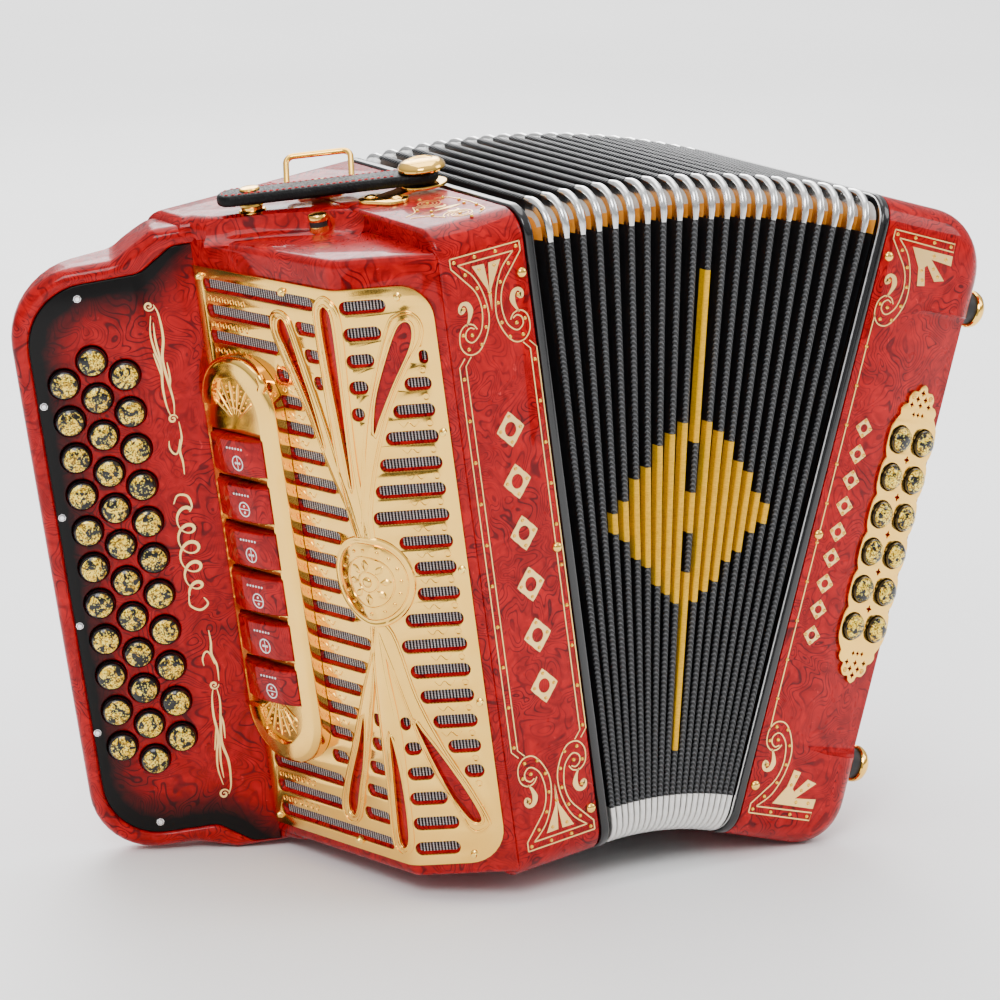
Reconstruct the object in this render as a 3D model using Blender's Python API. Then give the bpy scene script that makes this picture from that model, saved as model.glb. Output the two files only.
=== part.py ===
"""Three-row button accordion, standing on its lower edges with the bellows fanned open.

Sizes are in millimetres in the constants and are turned into metres when a mesh is made.
Each casing has a frame of its own: x runs from the treble side to the bass side, y runs from
the front to the back and z runs up the casing, with z = 0 at its bottom.  The seam between a
casing and its bellows frame is at x = 0 in both.
"""

import math

import bmesh
import bpy
from mathutils import Matrix, Vector

MM = 0.001
CLEARANCE = 0.3

# Stance: the casings lean apart, and the lowest edge of each stands on the floor.
TREBLE_LEAN = -8.405
FAN_ANGLE = 24.5
TREBLE_AT = (-4.5, -1.7, 17.42)

# Casings
CASING_HEIGHT = 320.0
CASING_DEPTH = 173.6
CASING_CORNER = 14.0
WALL = 5.0
TREBLE_WIDTH = 46.7
BASS_WIDTH = 66.0
HALF_DEPTH = CASING_DEPTH / 2

# Bellows
FOLDS = 21
FOLD_PITCH = 3.0
FOLD_THICKNESS = 2.4
FOLD_DEPTH = 16.0
FOLD_INSET = 1.5
FRAME_THICKNESS = 5.0
FRAME_BAND = 10.0

# Grille cover: corners of its front faces in plan
COVER_BACK = (-103.0, 48.2)
COVER_CREASE = (-84.8, -53.8)
COVER_FRONT = (-TREBLE_WIDTH - CLEARANCE, -HALF_DEPTH)
COVER_BOTTOM = 5.0
COVER_TOP = 310.5
COVER_WALL = 3.0
GRILLE_LOW = 12.0
GRILLE_HIGH = 297.0
GRILLE_EDGE = 45.8
GRILLE_THICKNESS = 1.2
SLOT_ROWS = 22
SLOT_TOP = 286.0
SLOT_PITCH = 12.5
SLOT_HEIGHT = 6.4
COVER_SLOT_HEIGHT = 4.4

# Keyboard arm: a slanted plane that starts at the cover's back corner
ARM_SLANT = 24.0
ARM_BACK_INNER = (-TREBLE_WIDTH, HALF_DEPTH)
ARM_BACK_OUTER = (-195.0, 93.3)
PLATE_RECESS = 3.6
PLATE_THICKNESS = 2.3

# Buttons: rows by their distance along the arm, with the lowest button and the count
BUTTON_PITCH = 18.5
BUTTON_ROWS = {
    "treble_buttons_inner_row": (40.9, 63.4, 11),
    "treble_buttons_middle_row": (55.4, 54.1, 12),
    "treble_buttons_outer_row": (70.0, 63.4, 11),
}
BUTTON_RADIUS = 7.0
BUTTON_HOLE = 7.8
BUTTON_TRAVEL = 3.0

# Register switches on the grille's side face
SWITCHES = 6
SWITCH_PITCH = 23.1
SWITCH_FIRST = 208.7
SWITCH_HEIGHT = 19.5
SWITCH_WINDOW_GAP = 0.4
SWITCH_LEFT = 5.0
SWITCH_RIGHT = 45.0
SWITCH_AXIS = (25.0, 6.0)
HOUSING_WIDTH = 56.0
HOUSING_LOW = 52.0
HOUSING_HIGH = 257.0
HOUSING_TOP = 10.0

# Bass side
BASS_PANEL_START = (25.5, -HALF_DEPTH)
BASS_PANEL_END = (66.0, -76.8)
BASS_LOBE_LOW = 48.0
BASS_LOBE_HIGH = 272.0
BASS_COLUMNS = {"bass_buttons_inner_column": 14.1, "bass_buttons_outer_column": 32.1}
BASS_BUTTONS = 6
BASS_BUTTON_PITCH = 18.9
BASS_BUTTON_FIRST = 112.6
BASS_BUTTON_RADIUS = 6.4
BASS_BUTTON_HOLE = 7.1
FOOT_HEIGHTS = (43.0, 276.0)
FOOT_DEPTH = 68.0
HAND_STRAP_BULGE = 36.0
HAND_STRAP_FRONT, HAND_STRAP_BACK = -6.0, 48.0

# Fittings on top of the treble casing, in plan
STRAP_PIVOT = (-8.0, -12.0)
STRAP_SNAP = (-77.0, 32.0)
STRAP_LOW = 324.0
STRAP_THICKNESS = 5.5
STRAP_WIDTH = 17.0
STRAP_STUD_BASE = 318.3
COVER_STOP = (-60.5, -1.5)
RING_ENDS = ((-56.0, 35.0), (-30.0, 18.0))
RING_AXIS_HEIGHT = 324.0
RING_HEIGHT = 19.0
RING_LEAN = 48.0
RING_WIRE = 1.5

RED = (0.55, 0.012, 0.015)
BLACK = (0.01, 0.01, 0.011)
GOLD = (0.83, 0.6, 0.22)
WOOD = (0.55, 0.36, 0.18)


# ---------------------------------------------------------------- scene and objects


def clear_scene():
    for obj in list(bpy.data.objects):
        bpy.data.objects.remove(obj, do_unlink=True)


def collection(name, hidden=False):
    made = bpy.data.collections.new(name)
    bpy.context.scene.collection.children.link(made)
    made.hide_render = hidden
    return made


def material(name, colour, metallic, roughness):
    made = bpy.data.materials.new(name)
    made.use_nodes = True
    shader = made.node_tree.nodes["Principled BSDF"]
    shader.inputs["Base Color"].default_value = (*colour, 1.0)
    shader.inputs["Metallic"].default_value = metallic
    shader.inputs["Roughness"].default_value = roughness
    return made


def matrix(x_axis, y_axis, z_axis, origin):
    """A placement from its three axes and its origin, which is in millimetres."""
    placed = Matrix((x_axis, y_axis, z_axis)).transposed().to_4x4()
    placed.translation = Vector(origin) * MM
    return placed


def empty(name, placement, parent=None):
    made = bpy.data.objects.new(name, None)
    PARTS.objects.link(made)
    made.parent = parent
    made.matrix_local = placement
    return made


def add(name, mesh, parent, surface, origin=(0.0, 0.0, 0.0)):
    """An object in its side's frame, with its own origin there, in millimetres."""
    shift = Vector(origin) * MM
    mesh.transform(Matrix.Translation(-shift))
    obj = bpy.data.objects.new(name, mesh)
    PARTS.objects.link(obj)
    obj.parent = parent
    obj.location = shift
    mesh.materials.clear()
    mesh.materials.append(surface)
    mesh.shade_smooth()
    mesh.set_sharp_from_angle(angle=math.radians(35))
    return obj


def cutter(name, mesh, parent):
    obj = bpy.data.objects.new(name, mesh)
    CUTTERS.objects.link(obj)
    obj.parent = parent
    obj.hide_render = True
    obj.display_type = "WIRE"
    return obj


def boolean(target, tool, operation="DIFFERENCE"):
    modifier = target.modifiers.new(tool.name, "BOOLEAN")
    modifier.operation = operation
    modifier.solver = "EXACT"
    modifier.object = tool


def mesh_from(bm, name):
    bmesh.ops.recalc_face_normals(bm, faces=bm.faces)
    mesh = bpy.data.meshes.new(name)
    bm.to_mesh(mesh)
    bm.free()
    return mesh


def joined(name, meshes):
    """One mesh that holds the others as separate bodies."""
    bm = bmesh.new()
    for mesh in meshes:
        bm.from_mesh(mesh)
        bpy.data.meshes.remove(mesh)
    return mesh_from(bm, name)


# ---------------------------------------------------------------- shapes


def rounded(corners, steps=4):
    """An outline from (x, y) or (x, y, radius) corners, with each radius as a short arc."""
    points = []
    for index, corner in enumerate(corners):
        here = Vector(corner[:2])
        radius = corner[2] if len(corner) > 2 else 0.0
        if radius == 0.0:
            points.append(here)
            continue
        before = (Vector(corners[index - 1][:2]) - here).normalized()
        after = (Vector(corners[(index + 1) % len(corners)][:2]) - here).normalized()
        half = before.angle(after) / 2
        middle = here + (before + after).normalized() * radius / math.sin(half)
        start = here + before * radius / math.tan(half) - middle
        end = here + after * radius / math.tan(half) - middle
        turn = start.angle_signed(end)
        for step in range(steps + 1):
            points.append(middle + Matrix.Rotation(-turn * step / steps, 2) @ start)
    return points


def circle(centre, radius, sides):
    angles = [2 * math.pi * side / sides for side in range(sides)]
    return [Vector((centre[0] + radius * math.cos(a), centre[1] + radius * math.sin(a))) for a in angles]


def rectangle(low, high, radius=0.0):
    return [(low[0], low[1], radius), (high[0], low[1], radius), (high[0], high[1], radius), (low[0], high[1], radius)]


def slab(name, outlines, low, high, placement):
    """A flat outline, with any holes, extruded from low to high along its own z axis."""
    curve = bpy.data.curves.new(name, "CURVE")
    curve.dimensions = "2D"
    curve.fill_mode = "BOTH"
    curve.extrude = (high - low) / 2 * MM
    for outline in outlines:
        spline = curve.splines.new("POLY")
        spline.points.add(len(outline) - 1)
        for point, target in zip(outline, spline.points):
            target.co = (point[0] * MM, point[1] * MM, 0.0, 1.0)
        spline.use_cyclic_u = True
    return converted(name, curve, placement @ Matrix.Translation((0, 0, (high + low) / 2 * MM)))


def converted(name, curve, placement):
    """A curve object's mesh, with its caps welded on."""
    holder = bpy.data.objects.new(name, curve)
    bpy.context.scene.collection.objects.link(holder)
    graph = bpy.context.evaluated_depsgraph_get()
    mesh = bpy.data.meshes.new_from_object(holder.evaluated_get(graph))
    bpy.data.objects.remove(holder)
    bpy.data.curves.remove(curve)
    bm = bmesh.new()
    bm.from_mesh(mesh)
    bpy.data.meshes.remove(mesh)
    bmesh.ops.remove_doubles(bm, verts=bm.verts, dist=1e-6)
    bmesh.ops.transform(bm, matrix=placement, verts=bm.verts)
    return mesh_from(bm, name)


def box(low, high, placement=Matrix.Identity(4)):
    size = [b - a for a, b in zip(low, high)]
    middle = [(a + b) / 2 for a, b in zip(low, high)]
    bm = bmesh.new()
    scale = Matrix.Diagonal((*[side * MM for side in size], 1.0))
    bmesh.ops.create_cube(bm, size=1.0, matrix=placement @ Matrix.Translation(Vector(middle) * MM) @ scale)
    return mesh_from(bm, "box")


def turned(profile, placement, sides):
    """A profile of (radius, height) points, on the axis at both ends, spun about z."""
    bm = bmesh.new()
    points = [bm.verts.new((radius * MM, 0.0, height * MM)) for radius, height in profile]
    edges = [bm.edges.new(pair) for pair in zip(points, points[1:])]
    bmesh.ops.spin(
        bm, geom=points + edges, cent=(0, 0, 0), axis=(0, 0, 1), angle=2 * math.pi, steps=sides, use_merge=True
    )
    bmesh.ops.remove_doubles(bm, verts=bm.verts, dist=1e-6)
    bmesh.ops.transform(bm, matrix=placement, verts=bm.verts)
    return mesh_from(bm, "turned")


def at(placement, x, y, z=0.0):
    return placement @ Matrix.Translation((x * MM, y * MM, z * MM))


# ---------------------------------------------------------------- placements in a casing's frame

UP = (0.0, 0.0, 1.0)
SECTION = matrix((0, 1, 0), UP, (1, 0, 0), (0, 0, 0))
PLAN = Matrix.Identity(4)
FRONT = matrix((1, 0, 0), UP, (0, -1, 0), (0, -HALF_DEPTH, 0))
BACK = matrix((-1, 0, 0), UP, (0, 1, 0), (0, HALF_DEPTH, 0))
BASS_END = matrix((0, 1, 0), UP, (1, 0, 0), (BASS_WIDTH, 0, 0))


def face(start, end):
    """A vertical face between two points in plan: x runs from start to end, y runs up, z points out."""
    along = (Vector(end) - Vector(start)).normalized()
    return matrix((along.x, along.y, 0), UP, (along.y, -along.x, 0), (start[0], start[1], 0))


SLANT = math.radians(ARM_SLANT)
ARM_DIRECTION = Vector((-math.cos(SLANT), math.sin(SLANT)))


def arm_point(distance, out=0.0):
    """A point of the arm's front plane in plan, or one that stands out from it."""
    outward = Vector((-math.sin(SLANT), -math.cos(SLANT)))
    return Vector(COVER_BACK) + ARM_DIRECTION * distance + outward * out


ARM = face(COVER_BACK, Vector(COVER_BACK) - ARM_DIRECTION)
GRILLE_SIDE = face(COVER_BACK, COVER_CREASE)
GRILLE_FRONT = face(COVER_CREASE, COVER_FRONT)
BASS_PANEL = face(BASS_PANEL_START, BASS_PANEL_END)
SIDE_LENGTH = (Vector(COVER_CREASE) - Vector(COVER_BACK)).length


def on_arm(corners):
    """Corners given by distance along the arm and height, turned to the arm face's own x."""
    return [(-corner[0], *corner[1:]) for corner in corners]


def section_outline(inset=0.0, radius=CASING_CORNER):
    side = HALF_DEPTH - inset
    return rounded(rectangle((-side, inset), (side, CASING_HEIGHT - inset), radius))


def back_line(x):
    share = (x - ARM_BACK_INNER[0]) / (ARM_BACK_OUTER[0] - ARM_BACK_INNER[0])
    return ARM_BACK_INNER[1] + share * (ARM_BACK_OUTER[1] - ARM_BACK_INNER[1])


RIDGE = [(-47.5, -16.0), (-50.0, -10.0), (-55.0, -1.0), (-63.0, 9.0), (-75.0, 21.0), (-89.0, 30.0), (-99.0, 38.0)]


# ---------------------------------------------------------------- treble side


def treble_casing():
    body = add(
        "treble_casing", slab("treble_casing", [section_outline()], -TREBLE_WIDTH, 0.0, SECTION), TREBLE, RED_SHELL
    )
    inner = 0.5
    block = [(-40.0, -16.0), *RIDGE, arm_point(0.0, -inner), arm_point(10.0, -inner)]
    block += [(-112.1, back_line(-112.1)), (-TREBLE_WIDTH, HALF_DEPTH - 0.1), (-40.0, HALF_DEPTH - 0.1)]
    shoulder = cutter("shoulder", slab("shoulder", [block], 1.0, CASING_HEIGHT - 2.0, PLAN), TREBLE)
    rim = [(-14, 0.5), (-14, 316), (20, 316, 6), (36, 305, 10), (92, 303, 35), (89.5, 8, 32), (42, 7, 10), (22, 0.5, 8)]
    arm = cutter("arm", slab("arm", [rounded(on_arm(rim))], -60.0, 0.0, ARM), TREBLE)
    behind = [(10, HALF_DEPTH), ARM_BACK_INNER, ARM_BACK_OUTER, (-195, 160), (10, 160)]
    boolean(arm, cutter("behind", slab("behind", [behind], -20.0, 340.0, PLAN), TREBLE))
    boolean(body, shoulder, "UNION")
    boolean(body, arm, "UNION")
    chamber = box((-41.0, -HALF_DEPTH + WALL, WALL), (10.0, HALF_DEPTH - WALL, CASING_HEIGHT - WALL))
    boolean(body, cutter("chamber", chamber, TREBLE))
    mouth = box((-60.0, -77.0, 12.0), (-30.0, -20.0, CASING_HEIGHT - 14.0))
    boolean(body, cutter("mouth", mouth, TREBLE))
    pocket = [arm_point(30, 9), arm_point(79, 9), arm_point(79), (-175.2, 88.3), (-130.4, 87.3), arm_point(30)]
    boolean(body, cutter("button_pocket", slab("button_pocket", [pocket], 44.0, 268.0, PLAN), TREBLE))
    recess = slab("plate_recess", [plate_outline(CLEARANCE)], -PLATE_RECESS, 6.0, ARM)
    boolean(body, cutter("plate_recess", recess, TREBLE))


def plate_outline(grow=0.0):
    low, high, end = 2.5 - grow, 307 + grow, 84 + grow
    corners = [(0.5 - grow, high), (11, high, 5), (25, 296 + grow, 9), (end, 294.5 + grow, 30)]
    corners += [(end - 1.5, 16 - grow, 28), (30, 15 - grow, 9), (14, low + 1, 6), (0.5 - grow, low)]
    return rounded(on_arm(corners))


def fingerboard():
    holes = []
    for distance, lowest, count in BUTTON_ROWS.values():
        holes += [circle((-distance, lowest + BUTTON_PITCH * n), BUTTON_HOLE, 12) for n in range(count)]
    front = -PLATE_RECESS + CLEARANCE + PLATE_THICKNESS
    mesh = slab("fingerboard_plate", [plate_outline(), *holes], front - PLATE_THICKNESS, front, ARM)
    add("fingerboard_plate", mesh, TREBLE, RED_SHELL)


def button_group(name, places, dome, rail_width, rail_depth, parent):
    """Buttons in line, carried by one rail behind the surface they stand in."""
    foot = dome[0][1]
    ends = [place.translation for place in (places[0], places[-1])]
    length = (ends[1] - ends[0]).length / MM
    low = (-rail_width / 2, -4.0, foot - rail_depth)
    rail = box(low, (rail_width / 2, length + 4.0, foot + 0.5), places[0])
    group = add(name, rail, parent, BUTTON_BLACK, places[0].translation / MM)
    caps = joined(f"{name}_caps", [turned(dome, place, 12) for place in places])
    boolean(group, cutter(f"{name}_caps", caps, parent), "UNION")


def treble_buttons():
    dome = [(0, -4.2), (BUTTON_RADIUS, -4.2), (BUTTON_RADIUS, 1.8), (5.2, 3.6), (0, 4.6)]
    for name, (distance, lowest, count) in BUTTON_ROWS.items():
        places = [at(ARM, -distance, lowest + BUTTON_PITCH * n) for n in range(count)]
        button_group(name, places, dome, 4.0, 1.2, TREBLE)


def treble_inside():
    board = box((-40.7, -HALF_DEPTH + WALL + 0.4, WALL + 0.4), (-35.0, HALF_DEPTH - WALL - 0.4, CASING_HEIGHT - WALL - 0.4))
    add("treble_pallet_board", board, TREBLE, SPRUCE)
    pads = []
    rods = []
    for column, (_, lowest, count) in enumerate(BUTTON_ROWS.values()):
        middle = -68.0 + 18.0 * column
        rods.append(box((-47.5, middle - 1.5, 40.0), (-44.0, middle + 1.5, 280.0)))
        for n in range(count):
            height = lowest + BUTTON_PITCH * n
            pads.append(box((-44.5, middle - 7, height - 6), (-41.0, middle + 7, height + 6)))
    action = box((-47.0, -70.0, 42.0), (-45.0, -30.0, 45.0))
    rack = add("treble_pallet_action", action, TREBLE, FELT)
    boolean(rack, cutter("pallet_rods", joined("pallet_rods", rods), TREBLE), "UNION")
    boolean(rack, cutter("pallets", joined("pallets", pads), TREBLE), "UNION")
    reed_blocks("treble_reed_blocks", (-34.7, -10.0), (-52.0, 0.0, 52.0), (24.0, 296.0), TREBLE)


def reed_blocks(name, span, middles, heights, parent):
    """Upright reed blocks in rows, held by one rail across their lower ends."""
    rail = box((span[0] + 4, middles[0], heights[0] + 4), (span[1] - 4, middles[-1], heights[0] + 14))
    blocks = [box((span[0], y - 9, heights[0]), (span[1], y + 9, heights[1])) for y in middles]
    holder = add(name, rail, parent, SPRUCE)
    boolean(holder, cutter(f"{name}_rows", joined(name, blocks), parent), "UNION")


def offset_strip(near, far):
    """Plan outline of a bent strip that follows the cover's two front faces between two offsets."""
    start, crease, end = Vector(COVER_BACK), Vector(COVER_CREASE), Vector(COVER_FRONT)
    side = (crease - start).normalized()
    front = (end - crease).normalized()
    out_side = Vector((side.y, -side.x))
    out_front = Vector((front.y, -front.x))
    mitre = (out_side + out_front) / (1 + out_side.dot(out_front))
    return [
        start + out_side * near,
        crease + mitre * near,
        end + out_front * near,
        end + out_front * far,
        crease + mitre * far,
        start + out_side * far,
    ]


def slot_cutter(name, height, margin):
    """Rows of slots through both front faces, shorter beside the register housing."""
    boxes = []
    for row in range(SLOT_ROWS):
        middle = SLOT_TOP - SLOT_PITCH * row
        beside = HOUSING_LOW - 4 < middle < HOUSING_HIGH + 4
        left = HOUSING_WIDTH + 5 if beside else 7.0
        low, high = middle - height / 2, middle + height / 2
        boxes.append(box((left + margin, low, -8.0), (SIDE_LENGTH - 6 - margin, high, 4.0), GRILLE_SIDE))
        boxes.append(box((6.0 + margin, low, -8.0), (38.0 - margin, high, 4.0), GRILLE_FRONT))
    return cutter(name, joined(name, boxes), TREBLE)


def grille():
    ridge = [(x - 0.5, y - 0.6) for x, y in RIDGE]
    outline = [COVER_FRONT, COVER_CREASE, COVER_BACK, *reversed(ridge), (COVER_FRONT[0], -16.0)]
    cover = add("grille_cover", slab("grille_cover", [outline], COVER_BOTTOM, COVER_TOP, PLAN), TREBLE, RED_SHELL)
    strip = offset_strip(0.0, -COVER_WALL)
    inside = [strip[5], strip[4], strip[3], (-30.0, -84.0), (-30.0, 70.0), (-90.0, 70.0)]
    hollow = slab("cover_hollow", [inside], COVER_BOTTOM + COVER_WALL, COVER_TOP - COVER_WALL, PLAN)
    boolean(cover, cutter("cover_hollow", hollow, TREBLE))
    boolean(cover, slot_cutter("cover_slots", COVER_SLOT_HEIGHT, 1.0))

    backing = offset_strip(-COVER_WALL - CLEARANCE, -COVER_WALL - 1.1)
    cloth = add("grille_cloth", slab("grille_cloth", [backing], 14.0, 300.0, PLAN), TREBLE, MESH_CLOTH)
    clear_of_casing = box((-TREBLE_WIDTH - 2.0, -100, 0), (0, 100, 330))
    boolean(cloth, cutter("cloth_end", clear_of_casing, TREBLE))
    behind_arm = box((-120.0, 32.0, 0), (-80.0, 100.0, 330))
    boolean(cloth, cutter("cloth_start", behind_arm, TREBLE))

    bent = offset_strip(CLEARANCE, CLEARANCE + GRILLE_THICKNESS)
    plate = add("grille_plate", slab("grille_plate", [bent], GRILLE_LOW, GRILLE_HIGH, PLAN), TREBLE, GOLD_METAL)
    edge = [(-200, 0), (GRILLE_EDGE, GRILLE_LOW - 0.5, 18), (GRILLE_EDGE, GRILLE_HIGH + 0.5, 16), (-200, 320)]
    keep = slab("plate_edge", [rounded(edge)], -160.0, 60.0, GRILLE_FRONT)
    boolean(plate, cutter("plate_edge", keep, TREBLE), "INTERSECT")
    boolean(plate, slot_cutter("plate_slots", SLOT_HEIGHT, 0.0))


def registers():
    base = CLEARANCE + GRILLE_THICKNESS + CLEARANCE
    outline = rounded(rectangle((0.5, HOUSING_LOW), (HOUSING_WIDTH, HOUSING_HIGH), 26.0), 5)
    windows = []
    for index in range(SWITCHES):
        middle = SWITCH_FIRST - SWITCH_PITCH * index
        half = SWITCH_HEIGHT / 2 + SWITCH_WINDOW_GAP
        windows.append(rounded(rectangle((SWITCH_LEFT - 1.2, middle - half), (SWITCH_RIGHT + 1.2, middle + half))))
    housing = slab("register_housing", [outline, *windows], base, HOUSING_TOP, GRILLE_SIDE)
    add("register_housing", housing, TREBLE, GOLD_METAL)
    paddle = [(SWITCH_LEFT, 4.4), (SWITCH_RIGHT, 4.4), (SWITCH_RIGHT, 11.5), (38, 12.8), (18, 14.4), (9, 14.0), (SWITCH_LEFT, 10.5)]
    across = GRILLE_SIDE @ matrix((1, 0, 0), (0, 0, 1), (0, -1, 0), (0, 0, 0))
    for index in range(SWITCHES):
        middle = SWITCH_FIRST - SWITCH_PITCH * index
        name = f"register_switch_{index + 1}"
        mesh = slab(name, [paddle], -middle - SWITCH_HEIGHT / 2, -middle + SWITCH_HEIGHT / 2, across)
        origin = at(GRILLE_SIDE, SWITCH_AXIS[0], middle, SWITCH_AXIS[1]).translation / MM
        add(name, mesh, TREBLE, RED_SHELL, origin)


def strap_fittings():
    pivot, snap = Vector(STRAP_PIVOT), Vector(STRAP_SNAP)
    along = (snap - pivot).normalized()
    across = Vector((-along.y, along.x))
    strap_frame = matrix((along.x, along.y, 0), (across.x, across.y, 0), UP, (pivot.x, pivot.y, 0))
    half = STRAP_WIDTH / 2
    reach = (snap - pivot).length
    outline = rounded(rectangle((-half + 1, -half), (reach + 16, half), 7.9), 4)
    top = STRAP_LOW + STRAP_THICKNESS
    strap = slab("bellows_strap", [outline, circle((0, 0), 3.2, 8)], STRAP_LOW, top, strap_frame)
    add("bellows_strap", strap, TREBLE, LEATHER, (*STRAP_PIVOT, STRAP_LOW))

    foot = matrix((0.42, -0.91, 0), (0.91, 0.42, 0), (0, 0, 1), (-31.0, -13.5, 0))
    plate_low, tip_low = CASING_HEIGHT + CLEARANCE, STRAP_LOW - 1.8
    bracket = add(
        "strap_bracket",
        slab("strap_bracket", [rounded(rectangle((-13, -7), (13, 7), 6.5))], plate_low, plate_low + 1.6, foot),
        TREBLE,
        GOLD_METAL,
    )
    bridge = [(-33, -19), (-30, -7), (-8, -5), (-8, -19)]
    tongue = slab("tongue", [bridge], plate_low + 1.0, tip_low + 0.8, PLAN)
    boolean(bracket, cutter("tongue", tongue, TREBLE), "UNION")
    post = [(0, tip_low), (11.0, tip_low), (11.0, tip_low + 1.5), (2.6, tip_low + 1.5), (2.6, top + 0.3)]
    post += [(10.8, top + 0.3), (11.4, top + 2.2), (9.0, top + 4.8), (4.0, top + 6.0), (0, top + 6.0)]
    cap = turned(post, at(PLAN, *STRAP_PIVOT), 16)
    boolean(bracket, cutter("pivot_cap", cap, TREBLE), "UNION")

    stud = [(0, STRAP_STUD_BASE), (6.2, STRAP_STUD_BASE), (6.2, STRAP_STUD_BASE + 2.4), (4.8, STRAP_STUD_BASE + 3.0)]
    stud += [(4.8, STRAP_LOW - 0.3), (0, STRAP_LOW - 0.3)]
    add("strap_stud", turned(stud, at(PLAN, *STRAP_SNAP), 12), TREBLE, GOLD_METAL)

    base = COVER_TOP + CLEARANCE
    stop = [(0, base), (4.1, base), (4.1, base + 3.7), (4.5, base + 3.9), (4.5, base + 6.4), (3.2, base + 8.2)]
    add("cover_stop", turned([*stop, (0, base + 8.8)], at(PLAN, *COVER_STOP), 12), TREBLE, GOLD_METAL)


def shoulder_ring():
    left, right = Vector(RING_ENDS[0]), Vector(RING_ENDS[1])
    along = (right - left).normalized()
    width = (right - left).length
    back = Vector((-along.y, along.x))
    lean = math.radians(RING_LEAN)
    rise = (back.x * math.sin(lean), back.y * math.sin(lean), math.cos(lean))
    axis = Vector((along.x, along.y, 0))
    plane = matrix(axis, rise, axis.cross(Vector(rise)), (left.x, left.y, RING_AXIS_HEIGHT))
    outline = rounded(rectangle((0, 0), (width, RING_HEIGHT), 3.5), 3)
    curve = bpy.data.curves.new("shoulder_ring", "CURVE")
    curve.dimensions = "3D"
    curve.bevel_depth = RING_WIRE * MM
    curve.bevel_resolution = 1
    spline = curve.splines.new("POLY")
    spline.points.add(len(outline) - 1)
    for point, target in zip(outline, spline.points):
        target.co = (point[0] * MM, point[1] * MM, 0.0, 1.0)
    spline.use_cyclic_u = True
    origin = (left.x + along.x * width / 2, left.y + along.y * width / 2, RING_AXIS_HEIGHT)
    add("shoulder_ring", converted("shoulder_ring", curve, plane), TREBLE, GOLD_METAL, origin)

    upright = matrix(axis, (back.x, back.y, 0), UP, (left.x, left.y, 0))
    low = CASING_HEIGHT + CLEARANCE
    lug = box((width / 2 - 5, -4.0, low), (width / 2 + 5, 4.0, RING_AXIS_HEIGHT + 3.4), upright)
    holder = add("ring_lug", lug, TREBLE, GOLD_METAL)
    sideways = upright @ matrix((0, 0, -1), (0, 1, 0), (1, 0, 0), (0, 0, RING_AXIS_HEIGHT))
    tunnel = turned([(0, 2), (RING_WIRE + 0.4, 2), (RING_WIRE + 0.4, width - 2), (0, width - 2)], sideways, 10)
    boolean(holder, cutter("lug_hole", tunnel, TREBLE))


# ---------------------------------------------------------------- bellows


def ring(name, low, high, inset, band, corner, parent, surface, origin=(0.0, 0.0, 0.0)):
    inner_side, inner_low = HALF_DEPTH - inset - band, inset + band
    inner = rounded(rectangle((-inner_side, inner_low), (inner_side, CASING_HEIGHT - inner_low), 4.0), 2)
    mesh = slab(name, [section_outline(inset, corner), inner], low, high, SECTION)
    add(name, mesh, parent, surface, origin)


def walk_bellows():
    """Fold planes and hinge points along the closed lower edge, in the treble frame."""
    here, angle = Vector((FRAME_THICKNESS, 0.0)), 0.0
    step = math.radians(FAN_ANGLE) / (FOLDS + 1)
    planes, hinges = [], []
    for _ in range(FOLDS + 1):
        here = here + Vector((math.cos(angle), -math.sin(angle))) * FOLD_PITCH / 2
        hinges.append(here)
        angle += step
        here = here + Vector((math.cos(angle), -math.sin(angle))) * FOLD_PITCH / 2
        planes.append((here, angle))
    return planes, hinges


def bellows():
    planes, hinges = walk_bellows()
    ring("treble_bellows_frame", CLEARANCE, FRAME_THICKNESS, 0.0, FRAME_BAND, CASING_CORNER, TREBLE, FRAME_BLACK)
    for index in range(FOLDS):
        here, angle = planes[index]
        placement = Matrix.Translation((here.x * MM, 0, here.y * MM)) @ Matrix.Rotation(angle, 4, "Y")
        plane = empty(f"fold_plane_{index + 1:02d}", placement, TREBLE)
        half = FOLD_THICKNESS / 2
        name = f"bellows_fold_{index + 1:02d}"
        hinge = (-FOLD_PITCH / 2, 0.0, 0.0)
        ring(name, -half, half, FOLD_INSET, FOLD_DEPTH, CASING_CORNER - 1, plane, BELLOWS_CLOTH, hinge)
    ring("bass_bellows_frame", -FRAME_THICKNESS, -CLEARANCE, 0.0, FRAME_BAND, CASING_CORNER, BASS, FRAME_BLACK)


# ---------------------------------------------------------------- bass side


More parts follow.
